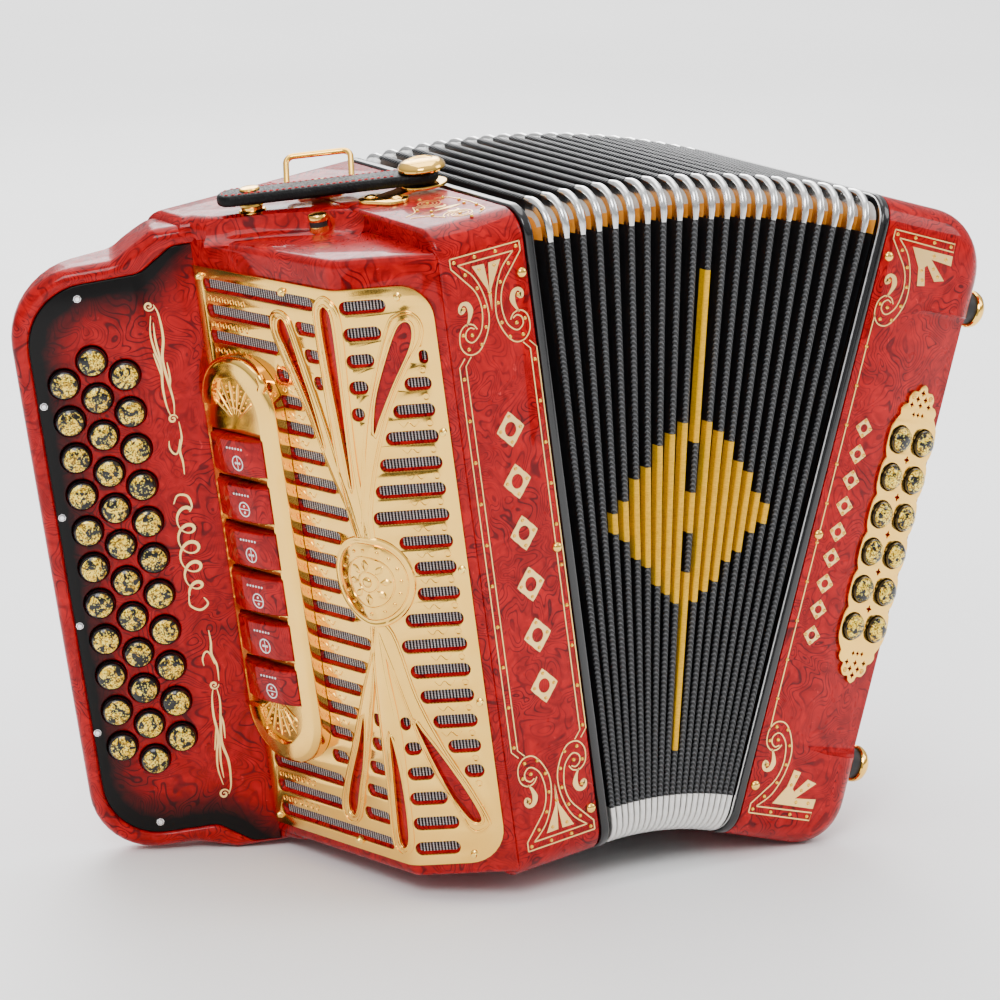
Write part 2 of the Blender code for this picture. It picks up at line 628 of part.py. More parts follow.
def bass_casing():
    outline = rounded([(0, 0, 0), (BASS_WIDTH, 0, 25), (BASS_WIDTH, CASING_HEIGHT, 30), (0, CASING_HEIGHT, 0)], 6)
    side_view = matrix((1, 0, 0), UP, (0, -1, 0), (0, 0, 0))
    body = add(
        "bass_casing", slab("bass_casing", [outline], -HALF_DEPTH, HALF_DEPTH, side_view), BASS, RED_SHELL
    )
    section = slab("bass_section", [section_outline(0.0)], -5.0, BASS_WIDTH + 5.0, SECTION)
    boolean(body, cutter("bass_section", section, BASS), "INTERSECT")
    beyond = Vector(BASS_PANEL_END) + (Vector(BASS_PANEL_END) - Vector(BASS_PANEL_START)) * 0.3
    wedge = [(BASS_PANEL_START[0] - 4.0, -HALF_DEPTH - 1.0), BASS_PANEL_START, beyond, (beyond.x, -110), (15, -110)]
    notch = slab("panel_notch", [wedge], BASS_LOBE_LOW, BASS_LOBE_HIGH, PLAN)
    boolean(body, cutter("panel_notch", notch, BASS))
    reach = HALF_DEPTH - WALL
    chamber = box((-5.0, -reach, WALL), (20.0, reach, CASING_HEIGHT - WALL))
    boolean(body, cutter("bass_chamber", chamber, BASS))
    inner = [(25.0, -81.4), (61.0, -72.5), (BASS_WIDTH + 5, -72.5), (BASS_WIDTH + 5, 76.0), (25.0, 76.0)]
    action = slab("bass_action", [inner], BASS_LOBE_LOW + 6, BASS_LOBE_HIGH - 6, PLAN)
    boolean(body, cutter("bass_action", action, BASS))
    air_way = turned([(0, 15), (6.0, 15), (6.0, 30), (0, 30)], at(matrix((0, 1, 0), UP, (1, 0, 0), (0, 0, 0)), -52, 236), 12)
    boolean(body, cutter("air_way", air_way, BASS))
    drill = [(0, -14), (BASS_BUTTON_HOLE, -14), (BASS_BUTTON_HOLE, 2), (0, 2)]
    holes = joined("bass_button_holes", [turned(drill, place, 12) for place in bass_button_places()])
    boolean(body, cutter("bass_button_holes", holes, BASS))


def bass_button_places(columns=tuple(BASS_COLUMNS.values())):
    return [
        at(BASS_PANEL, x, BASS_BUTTON_FIRST + BASS_BUTTON_PITCH * n) for x in columns for n in range(BASS_BUTTONS)
    ]


def bass_buttons():
    dome = [(0, -8.0), (BASS_BUTTON_RADIUS, -8.0), (BASS_BUTTON_RADIUS, 3.2), (4.8, 5.0), (0, 6.0)]
    for name, x in BASS_COLUMNS.items():
        button_group(name, bass_button_places((x,)), dome, 5.0, 2.0, BASS)


def bass_button_plate():
    """A scalloped plate: one lobe beside each button, and a round nose at each end."""
    left, right = BASS_COLUMNS.values()
    half = BASS_BUTTON_PITCH / 2
    points = []
    for n in range(BASS_BUTTONS):
        height = BASS_BUTTON_FIRST + BASS_BUTTON_PITCH * n
        points += [(right + 8.0, height - half * 0.55), (right + 9.0, height), (right + 8.0, height + half * 0.55)]
        if n < BASS_BUTTONS - 1:
            points.append((right + 6.6, height + half))
    top = BASS_BUTTON_FIRST + BASS_BUTTON_PITCH * (BASS_BUTTONS - 1)
    nose = [(right + 5.0, top + 14.0), (right + 1.5, top + 20.0), (right - 3.0, top + 25.5)]
    centre = (left + right) / 2
    points += nose + [(centre, top + 27.5)]
    points += [(2 * centre - x, y) for x, y in reversed(nose)]
    rights = points[: BASS_BUTTONS * 4 - 1]
    points += [(2 * centre - x, y) for x, y in reversed(rights)]
    low = BASS_BUTTON_FIRST
    tail = [(x, 2 * low + (top - low) - y) for x, y in nose]
    points += [(2 * centre - x, y) for x, y in tail] + [(centre, low - 27.5)] + list(reversed(tail))
    holes = [
        circle((x, BASS_BUTTON_FIRST + BASS_BUTTON_PITCH * n), BASS_BUTTON_HOLE, 12)
        for x in (left, right)
        for n in range(BASS_BUTTONS)
    ]
    mesh = slab("bass_button_plate", [points, *holes], CLEARANCE, 1.5, BASS_PANEL)
    add("bass_button_plate", mesh, BASS, GOLD_METAL)


def bass_end():
    cover = box((62.0, -70.0, 56.0), (BASS_WIDTH, 75.0, 264.0))
    plate = add("bass_end_plate", cover, BASS, RED_SHELL)
    thumb = at(BASS_END, -52.0, 236.0)
    boolean(plate, cutter("air_hole", turned([(0, -8), (6.6, -8), (6.6, 4), (0, 4)], thumb, 12), BASS))
    button = [(0, -7.0), (6.0, -7.0), (6.0, 5.0), (4.6, 6.6), (0, 7.4)]
    add("air_button", turned(button, thumb, 12), BASS, BUTTON_BLACK, thumb.translation / MM)

    foot = [(0, 0.3), (7.6, 0.3), (7.6, 7.0), (9.0, 7.3), (9.2, 9.4), (7.0, 12.2), (3.0, 13.6), (0, 13.8)]
    for level, height in zip(("lower", "upper"), FOOT_HEIGHTS):
        for side, depth in (("front", -FOOT_DEPTH), ("back", FOOT_DEPTH)):
            name = f"bass_foot_{level}_{side}"
            add(name, turned(foot, at(BASS_END, depth, height), 12), BASS, GOLD_METAL)

    reed_blocks("bass_reed_blocks", (-12.0, 19.7), (-38.0, 38.0), (40.0, 280.0), BASS)
    valve = box((25.3, -60.0, 228.0), (29.0, -44.0, 244.0))
    add("air_valve", valve, BASS, FELT, (27.0, -52.0, 236.0))
    hand_strap()


def hand_strap():
    """A leather band that arches over the end plate, with its two ends flat against it."""
    low, high = BASS_LOBE_LOW + 14.0, BASS_LOBE_HIGH - 14.0
    centre, half = (low + high) / 2, (high - low) / 2
    steps = 14
    outer = []
    inner = []
    for step in range(steps + 1):
        share = -1 + 2 * step / steps
        height = centre + half * share
        rise = HAND_STRAP_BULGE * (1 - share**4) ** 0.8
        outer.append((BASS_WIDTH + 3.4 + rise, height))
        inner.append((BASS_WIDTH + 0.4 + rise, height))
    outline = outer + inner[::-1]
    side_view = matrix((1, 0, 0), UP, (0, -1, 0), (0, 0, 0))
    mesh = slab("hand_strap", [outline], -HAND_STRAP_BACK, -HAND_STRAP_FRONT, side_view)
    add("hand_strap", mesh, BASS, LEATHER)


# ---------------------------------------------------------------- assembly

clear_scene()
PARTS = collection("button_accordion")
CUTTERS = collection("cutters", hidden=True)

RED_SHELL = material("red_pearloid", RED, 0.0, 0.12)
GOLD_METAL = material("gold_plate", GOLD, 1.0, 0.18)
BUTTON_BLACK = material("button_black", BLACK, 0.0, 0.15)
FRAME_BLACK = material("frame_black", BLACK, 0.0, 0.2)
BELLOWS_CLOTH = material("bellows_cloth", (0.02, 0.02, 0.02), 0.0, 0.7)
LEATHER = material("black_leather", (0.015, 0.014, 0.014), 0.0, 0.5)
MESH_CLOTH = material("grille_mesh", (0.25, 0.25, 0.25), 0.4, 0.5)
SPRUCE = material("spruce", WOOD, 0.0, 0.6)
FELT = material("pallet_felt", (0.75, 0.72, 0.65), 0.0, 0.9)

TREBLE = empty(
    "treble_frame",
    Matrix.Translation(Vector(TREBLE_AT) * MM) @ Matrix.Rotation(math.radians(TREBLE_LEAN), 4, "Y"),
)
LAST_PLANE, LAST_ANGLE = walk_bellows()[0][-1]
BASS = empty(
    "bass_frame",
    Matrix.Translation((LAST_PLANE.x * MM, 0, LAST_PLANE.y * MM))
    @ Matrix.Rotation(LAST_ANGLE, 4, "Y")
    @ Matrix.Translation((FRAME_THICKNESS * MM, 0, 0)),
    TREBLE,
)

treble_casing()
treble_inside()
fingerboard()
treble_buttons()
grille()
registers()
strap_fittings()
shoulder_ring()
bellows()
bass_casing()
bass_buttons()
bass_button_plate()
bass_end()
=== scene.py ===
"""The looks of the button accordion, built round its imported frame.

Sizes are in millimetres and become metres when a mesh is made.  Each casing has a frame of
its own: x runs from the treble side to the bass side, y from front to back, z up the casing.
"""

import math

import bmesh
import bpy
from mathutils import Matrix, Vector


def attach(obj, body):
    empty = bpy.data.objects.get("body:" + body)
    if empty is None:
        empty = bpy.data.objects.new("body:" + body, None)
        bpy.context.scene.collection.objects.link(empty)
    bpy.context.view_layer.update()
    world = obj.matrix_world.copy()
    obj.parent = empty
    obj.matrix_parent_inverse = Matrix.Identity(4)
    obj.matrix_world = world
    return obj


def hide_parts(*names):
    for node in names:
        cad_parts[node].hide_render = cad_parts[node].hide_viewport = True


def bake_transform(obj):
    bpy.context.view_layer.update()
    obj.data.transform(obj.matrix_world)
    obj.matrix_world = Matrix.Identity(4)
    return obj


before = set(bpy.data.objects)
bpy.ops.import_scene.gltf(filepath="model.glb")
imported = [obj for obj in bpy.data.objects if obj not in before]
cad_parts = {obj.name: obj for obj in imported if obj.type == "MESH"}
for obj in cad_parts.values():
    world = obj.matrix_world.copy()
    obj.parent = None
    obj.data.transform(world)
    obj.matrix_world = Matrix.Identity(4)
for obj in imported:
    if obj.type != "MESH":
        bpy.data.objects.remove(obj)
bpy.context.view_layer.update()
MM = 0.001

# ---------------------------------------------------------------- the design's own dimensions

TREBLE_LEAN = -8.405
FAN_ANGLE = 24.5
TREBLE_AT = (-4.5, -1.7, 17.42)
HEIGHT = 320.0
HALF_DEPTH = 86.8
CORNER = 14.0
WALL = 5.0
TREBLE_WIDTH = 46.7
BASS_WIDTH = 66.0
FOLDS = 21
FOLD_PITCH = 3.0
FRAME_THICKNESS = 5.0
COVER_BACK = (-103.0, 48.2)
COVER_CREASE = (-84.8, -53.8)
COVER_FRONT = (-47.0, -86.8)
COVER_LOW, COVER_HIGH = 5.0, 310.5
CREASE_RADIUS = 12.0
GRILLE_LOW, GRILLE_HIGH = 12.0, 297.0
SLOT_ROWS = 22
SLOT_TOP, SLOT_PITCH = 288.3, 12.75
ARM_SLANT = math.radians(24.0)
ARM_BACK_INNER = (-46.7, 86.8)
ARM_BACK_OUTER = (-195.0, 93.3)
BUTTON_PITCH = 18.5
BUTTON_ROWS = {"inner": (40.9, 63.4, 11), "middle": (55.4, 54.1, 12), "outer": (70.0, 63.4, 11)}
SWITCH_FIRST, SWITCH_PITCH, SWITCH_HEIGHT = 208.7, 23.1, 19.5
PADDLE_HEIGHT = 17.9
BASS_PANEL_START, BASS_PANEL_END = (25.5, -86.8), (66.0, -76.8)
BASS_LOBE_LOW, BASS_LOBE_HIGH = 48.0, 272.0
BASS_COLUMNS = {"inner": 14.1, "outer": 32.1}
BASS_BUTTONS, BASS_PITCH, BASS_FIRST = 6, 18.9, 112.6
STRAP_PIVOT, STRAP_SNAP = (-8.0, -12.0), (-77.0, 32.0)
STRAP_LOW, STRAP_THICKNESS, STRAP_WIDTH = 324.0, 5.5, 17.0
HAND_STRAP_MIDDLE, HAND_STRAP_HALF_WIDTH, HAND_STRAP_BULGE, HAND_STRAP_END = 21.0, 27.0, 36.0, 14.0
AIR_BUTTON = (-52.0, 236.0)
FOOT_HEIGHTS = {"lower": 43.0, "upper": 276.0}
FOOT_DEPTHS = {"front": -68.0, "back": 68.0}
COVER_STOP = (-60.5, -1.5)
INLAY_LOW, INLAY_HIGH = -0.1, 0.24
RING_ENDS = ((-56.0, 35.0), (-30.0, 18.0))
RIDGE = [
    (-47.5, -16.0), (-50.0, -10.0), (-55.0, -1.0), (-63.0, 9.0), (-75.0, 21.0), (-89.0, 30.0), (-99.0, 38.0)
]

# ---------------------------------------------------------------- materials


def new_object(name, data):
    made = bpy.data.objects.new(name, data)
    bpy.context.scene.collection.objects.link(made)
    return made


class Surface:
    """A material and the few node calls that the patterns below are made of."""

    def __init__(self, name, colour, metallic=0.0, roughness=0.5, **sockets):
        self.made = bpy.data.materials.new(name)
        self.made.use_nodes = True
        self.tree = self.made.node_tree
        self.shader = self.tree.nodes["Principled BSDF"]
        self.value("Base Color", (*colour, 1.0))
        self.value("Metallic", metallic)
        self.value("Roughness", roughness)
        for socket, value in sockets.items():
            self.value(socket.replace("_", " "), value)

    def value(self, socket, value):
        self.shader.inputs[socket].default_value = value

    def node(self, kind, inputs=(), output=0, **settings):
        node = self.tree.nodes.new(kind)
        for key, value in settings.items():
            setattr(node, key, value)
        for key, value in dict(inputs).items():
            if isinstance(value, bpy.types.NodeSocket):
                self.tree.links.new(value, node.inputs[key])
            else:
                node.inputs[key].default_value = value
        return node.outputs[output]

    def place(self, scale=(1, 1, 1)):
        at = self.node("ShaderNodeTexCoord", output="Object")
        return self.node("ShaderNodeMapping", {"Vector": at, "Scale": scale})

    def axis(self, name):
        at = self.node("ShaderNodeTexCoord", output="Object")
        return self.node("ShaderNodeSeparateXYZ", {0: at}, output=name)

    def noise(self, vector, scale, detail=2.0, distortion=0.0, output="Fac"):
        inputs = {"Vector": vector, "Scale": scale, "Detail": detail, "Distortion": distortion}
        return self.node("ShaderNodeTexNoise", inputs, output=output)

    def cells(self, vector, scale, output="Distance", **settings):
        return self.node(
            "ShaderNodeTexVoronoi", {"Vector": vector, "Scale": scale}, output=output, **settings
        )

    def math(self, operation, *values):
        return self.node("ShaderNodeMath", dict(enumerate(values)), operation=operation)

    def ramp(self, factor, *stops):
        node = self.tree.nodes.new("ShaderNodeValToRGB")
        self.tree.links.new(factor, node.inputs[0])
        while len(node.color_ramp.elements) < len(stops):
            node.color_ramp.elements.new(1.0)
        for element, (position, colour) in zip(node.color_ramp.elements, stops):
            element.position = position
            element.color = (*colour, 1.0) if isinstance(colour, tuple) else (colour, colour, colour, 1.0)
        return node.outputs[0]

    def mix(self, factor, first, second):
        node = self.tree.nodes.new("ShaderNodeMix")
        node.data_type = "RGBA"
        for socket, value in ((0, factor), (6, first), (7, second)):
            if isinstance(value, bpy.types.NodeSocket):
                self.tree.links.new(value, node.inputs[socket])
            else:
                node.inputs[socket].default_value = value if socket == 0 else (*value, 1.0)
        return node.outputs[2]

    def use(self, socket, output):
        self.tree.links.new(output, self.shader.inputs[socket])

    def bump(self, height, depth, strength=1.0):
        inputs = {"Height": height, "Distance": depth, "Strength": strength}
        self.use("Normal", self.node("ShaderNodeBump", inputs))


def pearl_colour(surface):
    """Red celluloid: crowded dark contour lines round cloudy patches, with a few streaks of painted sheen
    highlight.
    """
    at = surface.place()
    warp = surface.noise(at, 34.0, 1.0, output="Color")
    shift = surface.node("ShaderNodeVectorMath", {0: warp, 1: (0.022,) * 3}, operation="MULTIPLY")
    swirl = surface.node("ShaderNodeVectorMath", {0: at, 1: shift}, operation="ADD")
    cloud = surface.noise(swirl, 46.0, 1.2, 0.6)
    lines = surface.math("SINE", surface.math("MULTIPLY", cloud, 135.0))
    patch = surface.ramp(surface.noise(at, 36.0, 2.0, 0.8), (0.36, 0.3), (0.58, 1.0))
    dark = surface.math("MULTIPLY", surface.ramp(lines, (0.4, 0.0), (0.93, 1.0)), patch)
    facets = surface.noise(swirl, 110.0, 2.0, 1.5)
    tone = surface.ramp(facets, (0.3, (0.22, 0.0, 0.001)), (0.7, (0.44, 0.001, 0.003)))
    # Painted highlight: small pale-red sheen streaks set into the colour
    painted_sheen = surface.ramp(surface.noise(at, 150.0, 2.0, 2.5), (0.69, 0.0), (0.8, 0.55))
    lit = surface.mix(painted_sheen, tone, (0.8, 0.03, 0.03))
    return surface.mix(surface.math("MULTIPLY", dark, 0.88), lit, (0.055, 0.0, 0.002))


def celluloid(name, coat, coat_roughness):
    sockets = {"Specular_IOR_Level": 0.06, "Coat_Weight": coat, "Coat_Roughness": coat_roughness}
    return Surface(name, (0.45, 0.002, 0.006), 0.0, 0.3, **sockets)


def pearl():
    made = celluloid("red_pearloid", 0.26, 0.015)
    made.use("Base Color", pearl_colour(made))
    made.use("Roughness", made.ramp(made.noise(made.place(), 220.0), (0.3, 0.25), (0.7, 0.45)))
    return made.made


def burst_pearl():
    """The fingerboard's red, going black towards its outer end and its two corners."""
    made = celluloid("pearl_sunburst", 0.2, 0.03)
    along = made.math("MULTIPLY", made.axis("X"), -1.0)
    height = made.axis("Y")
    beyond = made.math("SMOOTH_MIN", 0.0, made.math("SUBTRACT", along, 0.025), 0.008)
    lift = made.math("MULTIPLY", beyond, -0.9)
    radius = 0.034
    gaps = [made.math("SUBTRACT", 0.084, along)]
    gaps.append(made.math("ADD", made.math("SUBTRACT", 0.2945, height), lift))
    gaps.append(made.math("ADD", made.math("SUBTRACT", height, 0.0155), lift))
    short = [made.math("MAXIMUM", made.math("SUBTRACT", radius, gap), 0.0) for gap in gaps]
    squares = [made.math("MULTIPLY", value, value) for value in short]
    far = made.math("ADD", squares[0], made.math("MAXIMUM", squares[1], squares[2]))
    inside = made.math("SUBTRACT", radius, made.math("SQRT", far))
    ragged = made.math("MULTIPLY", made.math("SUBTRACT", made.noise(made.place(), 90.0), 0.5), 0.006)
    edge = made.math("MULTIPLY", made.math("ADD", inside, ragged), 1.0 / radius)
    shade = made.ramp(edge, (0.16, 1.0), (0.36, 0.75), (0.62, 0.2), (0.9, 0.0))
    made.use("Base Color", made.mix(shade, pearl_colour(made), (0.0025, 0.002, 0.002)))
    return made.made


def gold(name="gold", colour=(1.0, 0.60, 0.12), roughness=0.09, wear=0.05):
    made = Surface(name, colour, 1.0, roughness)
    grain = made.noise(made.place(), 900.0, 4.0)
    made.use("Roughness", made.ramp(grain, (0.3, roughness), (0.75, roughness + wear)))
    warm = tuple(channel * share for channel, share in zip(colour, (0.97, 0.92, 0.82)))
    blotch = made.ramp(made.noise(made.place(), 60.0), (0.35, 0.0), (0.7, 1.0))
    made.use("Base Color", made.mix(blotch, colour, warm))
    made.bump(grain, 0.00002, 0.25)
    return made.made


def black_gloss():
    coat = {"Specular_IOR_Level": 0.4, "Coat_Weight": 0.4, "Coat_Roughness": 0.03}
    made = Surface("black_gloss", (0.003, 0.003, 0.0035), 0.0, 0.12, **coat)
    speck = made.noise(made.place(), 700.0, 5.0)
    made.use("Roughness", made.ramp(speck, (0.3, 0.12), (0.8, 0.27)))
    made.use("Base Color", made.ramp(speck, (0.2, (0.002, 0.002, 0.0025)), (0.9, (0.006, 0.006, 0.007))))
    return made.made


def glitter():
    """Gold leaf and flakes in torn patches under a clear black dome."""
    coat = {"Specular_IOR_Level": 0.2, "Coat_Weight": 0.5, "Coat_Roughness": 0.02}
    made = Surface("button_glitter", (0.01, 0.01, 0.01), 0.0, 0.3, **coat)
    at = made.place()
    torn = made.ramp(made.noise(at, 190.0, 3.0, 0.9), (0.46, 0.0), (0.49, 1.0))
    flake = made.cells(at, 1500.0, "Color", feature="F1")
    bright = made.ramp(flake, (0.3, (0.16, 0.08, 0.0)), (0.5, (1.0, 0.58, 0.0)), (0.9, (1.0, 0.88, 0.16)))
    chance = made.ramp(made.cells(at, 1500.0, "Color"), (0.0, 0.0), (1.0, 1.0))
    loose = made.math("GREATER_THAN", chance, 0.77)
    cover = made.math("MAXIMUM", torn, made.math("MULTIPLY", loose, made.noise(at, 240.0)))
    made.use("Base Color", made.mix(cover, (0.004, 0.004, 0.0045), bright))
    made.use("Metallic", made.math("MULTIPLY", cover, 0.3))
    made.bump(made.math("MULTIPLY", made.cells(at, 2100.0), cover), 0.00012, 0.7)
    return made.made


def twill(name, colour, light, pitch):
    """Rope-like twill: slanting ribs along a fold's edge, with threads across them, and a painted highlight
    on each rib's crest.
    """
    made = Surface(name, colour, 0.0, 0.4, Specular_IOR_Level=0.5)
    at = made.node("ShaderNodeSeparateXYZ", {0: made.node("ShaderNodeTexCoord", output="Object")})
    split = at.node
    length = made.math("ADD", split.outputs[2], split.outputs[1])
    rise = made.math("MULTIPLY", length, pitch)
    slant = made.math("ADD", rise, made.math("MULTIPLY", split.outputs[0], pitch * 0.9))
    rib = made.math("MULTIPLY", made.math("ADD", made.math("SINE", slant), 1.0), 0.5)
    thread = made.noise(made.place((1.0, 1.0, 3.0)), 1500.0, 3.0)
    # Painted highlight: the lighter colour rises on the narrow crest of each rib
    share = made.math("MULTIPLY", made.math("POWER", rib, 2.4), made.math("ADD", thread, 0.25))
    made.use("Base Color", made.mix(share, colour, light))
    made.bump(made.math("ADD", rib, made.math("MULTIPLY", thread, 0.3)), 0.0006, 1.0)
    return made.made


def tape():
    """Satin tape with fine threads across it."""
    made = Surface("gold_tape", (0.8, 0.42, 0.03), 0.0, 0.45, Specular_IOR_Level=0.2)
    along = made.axis(2)
    threads = made.math("SINE", made.math("MULTIPLY", along, 13000.0))
    uneven = made.noise(made.place((1.0, 1.0, 4.0)), 500.0, 3.0)
    share = made.math("MULTIPLY_ADD", threads, 0.2, uneven)
    made.use("Base Color", made.ramp(share, (0.2, (0.52, 0.25, 0.0)), (0.8, (0.90, 0.50, 0.002))))
    made.bump(share, 0.0002, 0.6)
    return made.made


def leather(name, colour, light, scale=900.0, roughness=0.42, gloss=0.3):
    made = Surface(name, colour, 0.0, roughness, Specular_IOR_Level=gloss)
    at = made.place()
    pebble = made.cells(at, scale, feature="SMOOTH_F1")
    crease = made.noise(at, 120.0, 5.0)
    made.use("Base Color", made.mix(made.ramp(crease, (0.35, 0.0), (0.75, 1.0)), colour, light))
    made.use("Roughness", made.ramp(pebble, (0.1, roughness - 0.08), (0.8, roughness + 0.2)))
    made.bump(made.math("ADD", pebble, made.math("MULTIPLY", crease, 0.6)), 0.00025, 0.8)
    return made.made


def woven_mesh():
    """A ribbed metal weave: bright upright bars and fine cross threads, with painted shade in the dark gaps
    between them.
    """
    made = Surface("woven_mesh", (0.3, 0.3, 0.3), 0.6, 0.35)
    at = made.place()
    across = made.node("ShaderNodeSeparateXYZ", {0: at}, output=1)
    along = made.node("ShaderNodeSeparateXYZ", {0: at}, output=0)
    height = made.node("ShaderNodeSeparateXYZ", {0: at}, output=2)
    path = made.math("SUBTRACT", made.math("MULTIPLY", along, 0.75), across)
    bars = made.math("SINE", made.math("MULTIPLY", path, 3300.0))
    threads = made.math("SINE", made.math("MULTIPLY", height, 7000.0))
    weave = made.math("ADD", bars, made.math("MULTIPLY", threads, 0.45))
    raised = made.math("MULTIPLY_ADD", weave, 0.33, 0.5)
    # Painted shade: the colour goes near black where the weave is low, in the gaps
    lit = made.ramp(raised, (0.42, (0.01, 0.01, 0.012)), (0.72, (0.72, 0.73, 0.76)))
    made.use("Base Color", lit)
    made.bump(weave, 0.0004, 0.8)
    return made.made


def plain(name, colour, metallic, roughness, grain=400.0, spread=0.12, **sockets):
    """A surface with slight mottling in its colour, gloss and relief."""
    made = Surface(name, colour, metallic, roughness, **sockets)
    mottle = made.noise(made.place(), grain, 5.0)
    low = tuple(channel * (1 - spread) for channel in colour)
    high = tuple(min(1.0, channel * (1 + spread)) for channel in colour)
    made.use("Base Color", made.ramp(mottle, (0.3, low), (0.7, high)))
    made.use("Roughness", made.ramp(mottle, (0.3, roughness), (0.8, min(1.0, roughness + 0.12))))
    made.bump(mottle, 0.00003, 0.4)
    return made.made


def wood():
    made = Surface("spruce_wood", (0.55, 0.36, 0.18), 0.0, 0.6)
    rings = made.noise(made.place((14.0, 14.0, 0.9)), 20.0, 6.0, 1.2)
    made.use("Base Color", made.ramp(rings, (0.35, (0.42, 0.25, 0.11)), (0.65, (0.68, 0.47, 0.26))))
    made.bump(rings, 0.0001, 0.4)
    return made.made


PEARL = pearl()
BURST = burst_pearl()
GOLD = gold()
INLAY = gold("inlay_gold", (1.0, 0.68, 0.26), 0.3, 0.1)
BLACK = black_gloss()
GLITTER = glitter()
# Black twill; its second colour is the painted highlight on the rib crests
TWILL = twill("black_twill", (0.003, 0.003, 0.0035), (0.10, 0.103, 0.11), 2700.0)
WALL_CLOTH = plain("fold_wall_cloth", (0.005, 0.005, 0.006), 0.0, 0.35, 800.0, 0.4)
TAPE = tape()
VALLEY = leather("valley_leather", (0.62, 0.22, 0.012), (0.85, 0.36, 0.03), 1200.0, 0.5)
LEATHER = leather("black_leather", (0.002, 0.002, 0.0022), (0.005, 0.005, 0.0055), 1100.0, 0.42, 0.14)
CHROME = plain("bright_metal", (0.78, 0.78, 0.77), 1.0, 0.16, 300.0, 0.08)
PALE_METAL = plain("pale_corner", (0.80, 0.79, 0.76), 0.7, 0.3, 300.0, 0.06)
LINING = plain("grey_lining", (0.52, 0.52, 0.50), 0.1, 0.5)
RUBBER = plain("black_rubber", (0.012, 0.012, 0.013), 0.0, 0.55, 600.0, 0.3)
STITCH = plain("red_thread", (0.62, 0.015, 0.015), 0.0, 0.6, 2000.0, 0.25)
AMBER = plain("amber_stone", (1.0, 0.45, 0.02), 0.6, 0.1, 1500.0, 0.3, Coat_Weight=1.0)
CRYSTAL = plain("crystal", (0.9, 0.9, 0.92), 0.75, 0.08, 1500.0, 0.1, Coat_Weight=1.0)
WHITE = plain("white_print", (0.82, 0.81, 0.79), 0.0, 0.35)
MESH = woven_mesh()
SPRUCE = wood()
FELT = plain("felt", (0.72, 0.68, 0.6), 0.0, 0.95, 1500.0, 0.2, Sheen_Weight=0.4)

# ---------------------------------------------------------------- meshes


def matrix(x_axis, y_axis, z_axis, origin):
    placed = Matrix((x_axis, y_axis, z_axis)).transposed().to_4x4()
    placed.translation = Vector(origin) * MM
    return placed


def at(placement, x, y, z=0.0):
    return placement @ Matrix.Translation((x * MM, y * MM, z * MM))


def mesh_from(bm):
    bmesh.ops.recalc_face_normals(bm, faces=bm.faces)
    mesh = bpy.data.meshes.new("mesh")
    bm.to_mesh(mesh)
    bm.free()
    return mesh


def joined(meshes):
    bm = bmesh.new()
    for mesh in meshes:
        bm.from_mesh(mesh)
        bpy.data.meshes.remove(mesh)
    return mesh_from(bm)


def moved(mesh, placement):
    mesh.transform(placement)
    if placement.determinant() < 0:
        mesh.flip_normals()
    return mesh


def add(name, mesh, surface, body, placement, replaces=(), sharp=32.0):
    """A piece in its side's frame, riding on a body, with its finish and the nodes it stands for."""
    obj = new_object(name, mesh)
    obj.matrix_world = placement
    if surface is not None:
        mesh.materials.clear()
        mesh.materials.append(surface)
    mesh.shade_smooth()
    mesh.set_sharp_from_angle(angle=math.radians(sharp))
    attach(obj, body)
    if replaces:
        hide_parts(*replaces)
    return obj


def gilt(name, mesh, body, replaces=(), sharp=32.0):
    return add(name, mesh, GOLD, body, HOMES[body], replaces, sharp)


def pearled(name, mesh, body, replaces=(), sharp=32.0):
    return add(name, mesh, PEARL, body, HOMES[body], replaces, sharp)


def carve(mesh, tools, operation="DIFFERENCE"):
    """A mesh with other meshes cut from it or joined to it."""
    holder = new_object("carve", mesh)
    cutters = []
    for tool in tools:
        cutter = new_object("tool", tool)
        cutters.append(cutter)
        modifier = holder.modifiers.new("cut", "BOOLEAN")
        modifier.operation = operation
        modifier.solver = "EXACT"
        modifier.object = cutter
    graph = bpy.context.evaluated_depsgraph_get()
    result = bpy.data.meshes.new_from_object(holder.evaluated_get(graph))
    for made in (holder, *cutters):
        used = made.data
        bpy.data.objects.remove(made)
        bpy.data.meshes.remove(used)
    return result


def rounded(corners, steps=5):
    """An outline from (x, y) or (x, y, radius) corners, with each radius as an arc."""
    points = []
    for index, corner in enumerate(corners):
        here = Vector(corner[:2])
        radius = corner[2] if len(corner) > 2 else 0.0
        if radius == 0.0:
            points.append(here)
            continue
        before = (Vector(corners[index - 1][:2]) - here).normalized()
        after = (Vector(corners[(index + 1) % len(corners)][:2]) - here).normalized()
        half = before.angle(after) / 2
        middle = here + (before + after).normalized() * radius / math.sin(half)
        start = here + before * radius / math.tan(half) - middle
        end = here + after * radius / math.tan(half) - middle
        turn = start.angle_signed(end)
        points += [middle + Matrix.Rotation(-turn * step / steps, 2) @ start for step in range(steps + 1)]
    return points


def rectangle(low, high, radius=0.0):
    corners = ((low[0], low[1]), (high[0], low[1]), (high[0], high[1]), (low[0], high[1]))
    return [(x, y, radius) for x, y in corners]


def turn_angles(count):
    return [2 * math.pi * step / count for step in range(count)]


def circle(centre, radius, sides=24):
    x, y = centre
    return [Vector((x + radius * math.cos(a), y + radius * math.sin(a))) for a in turn_angles(sides)]


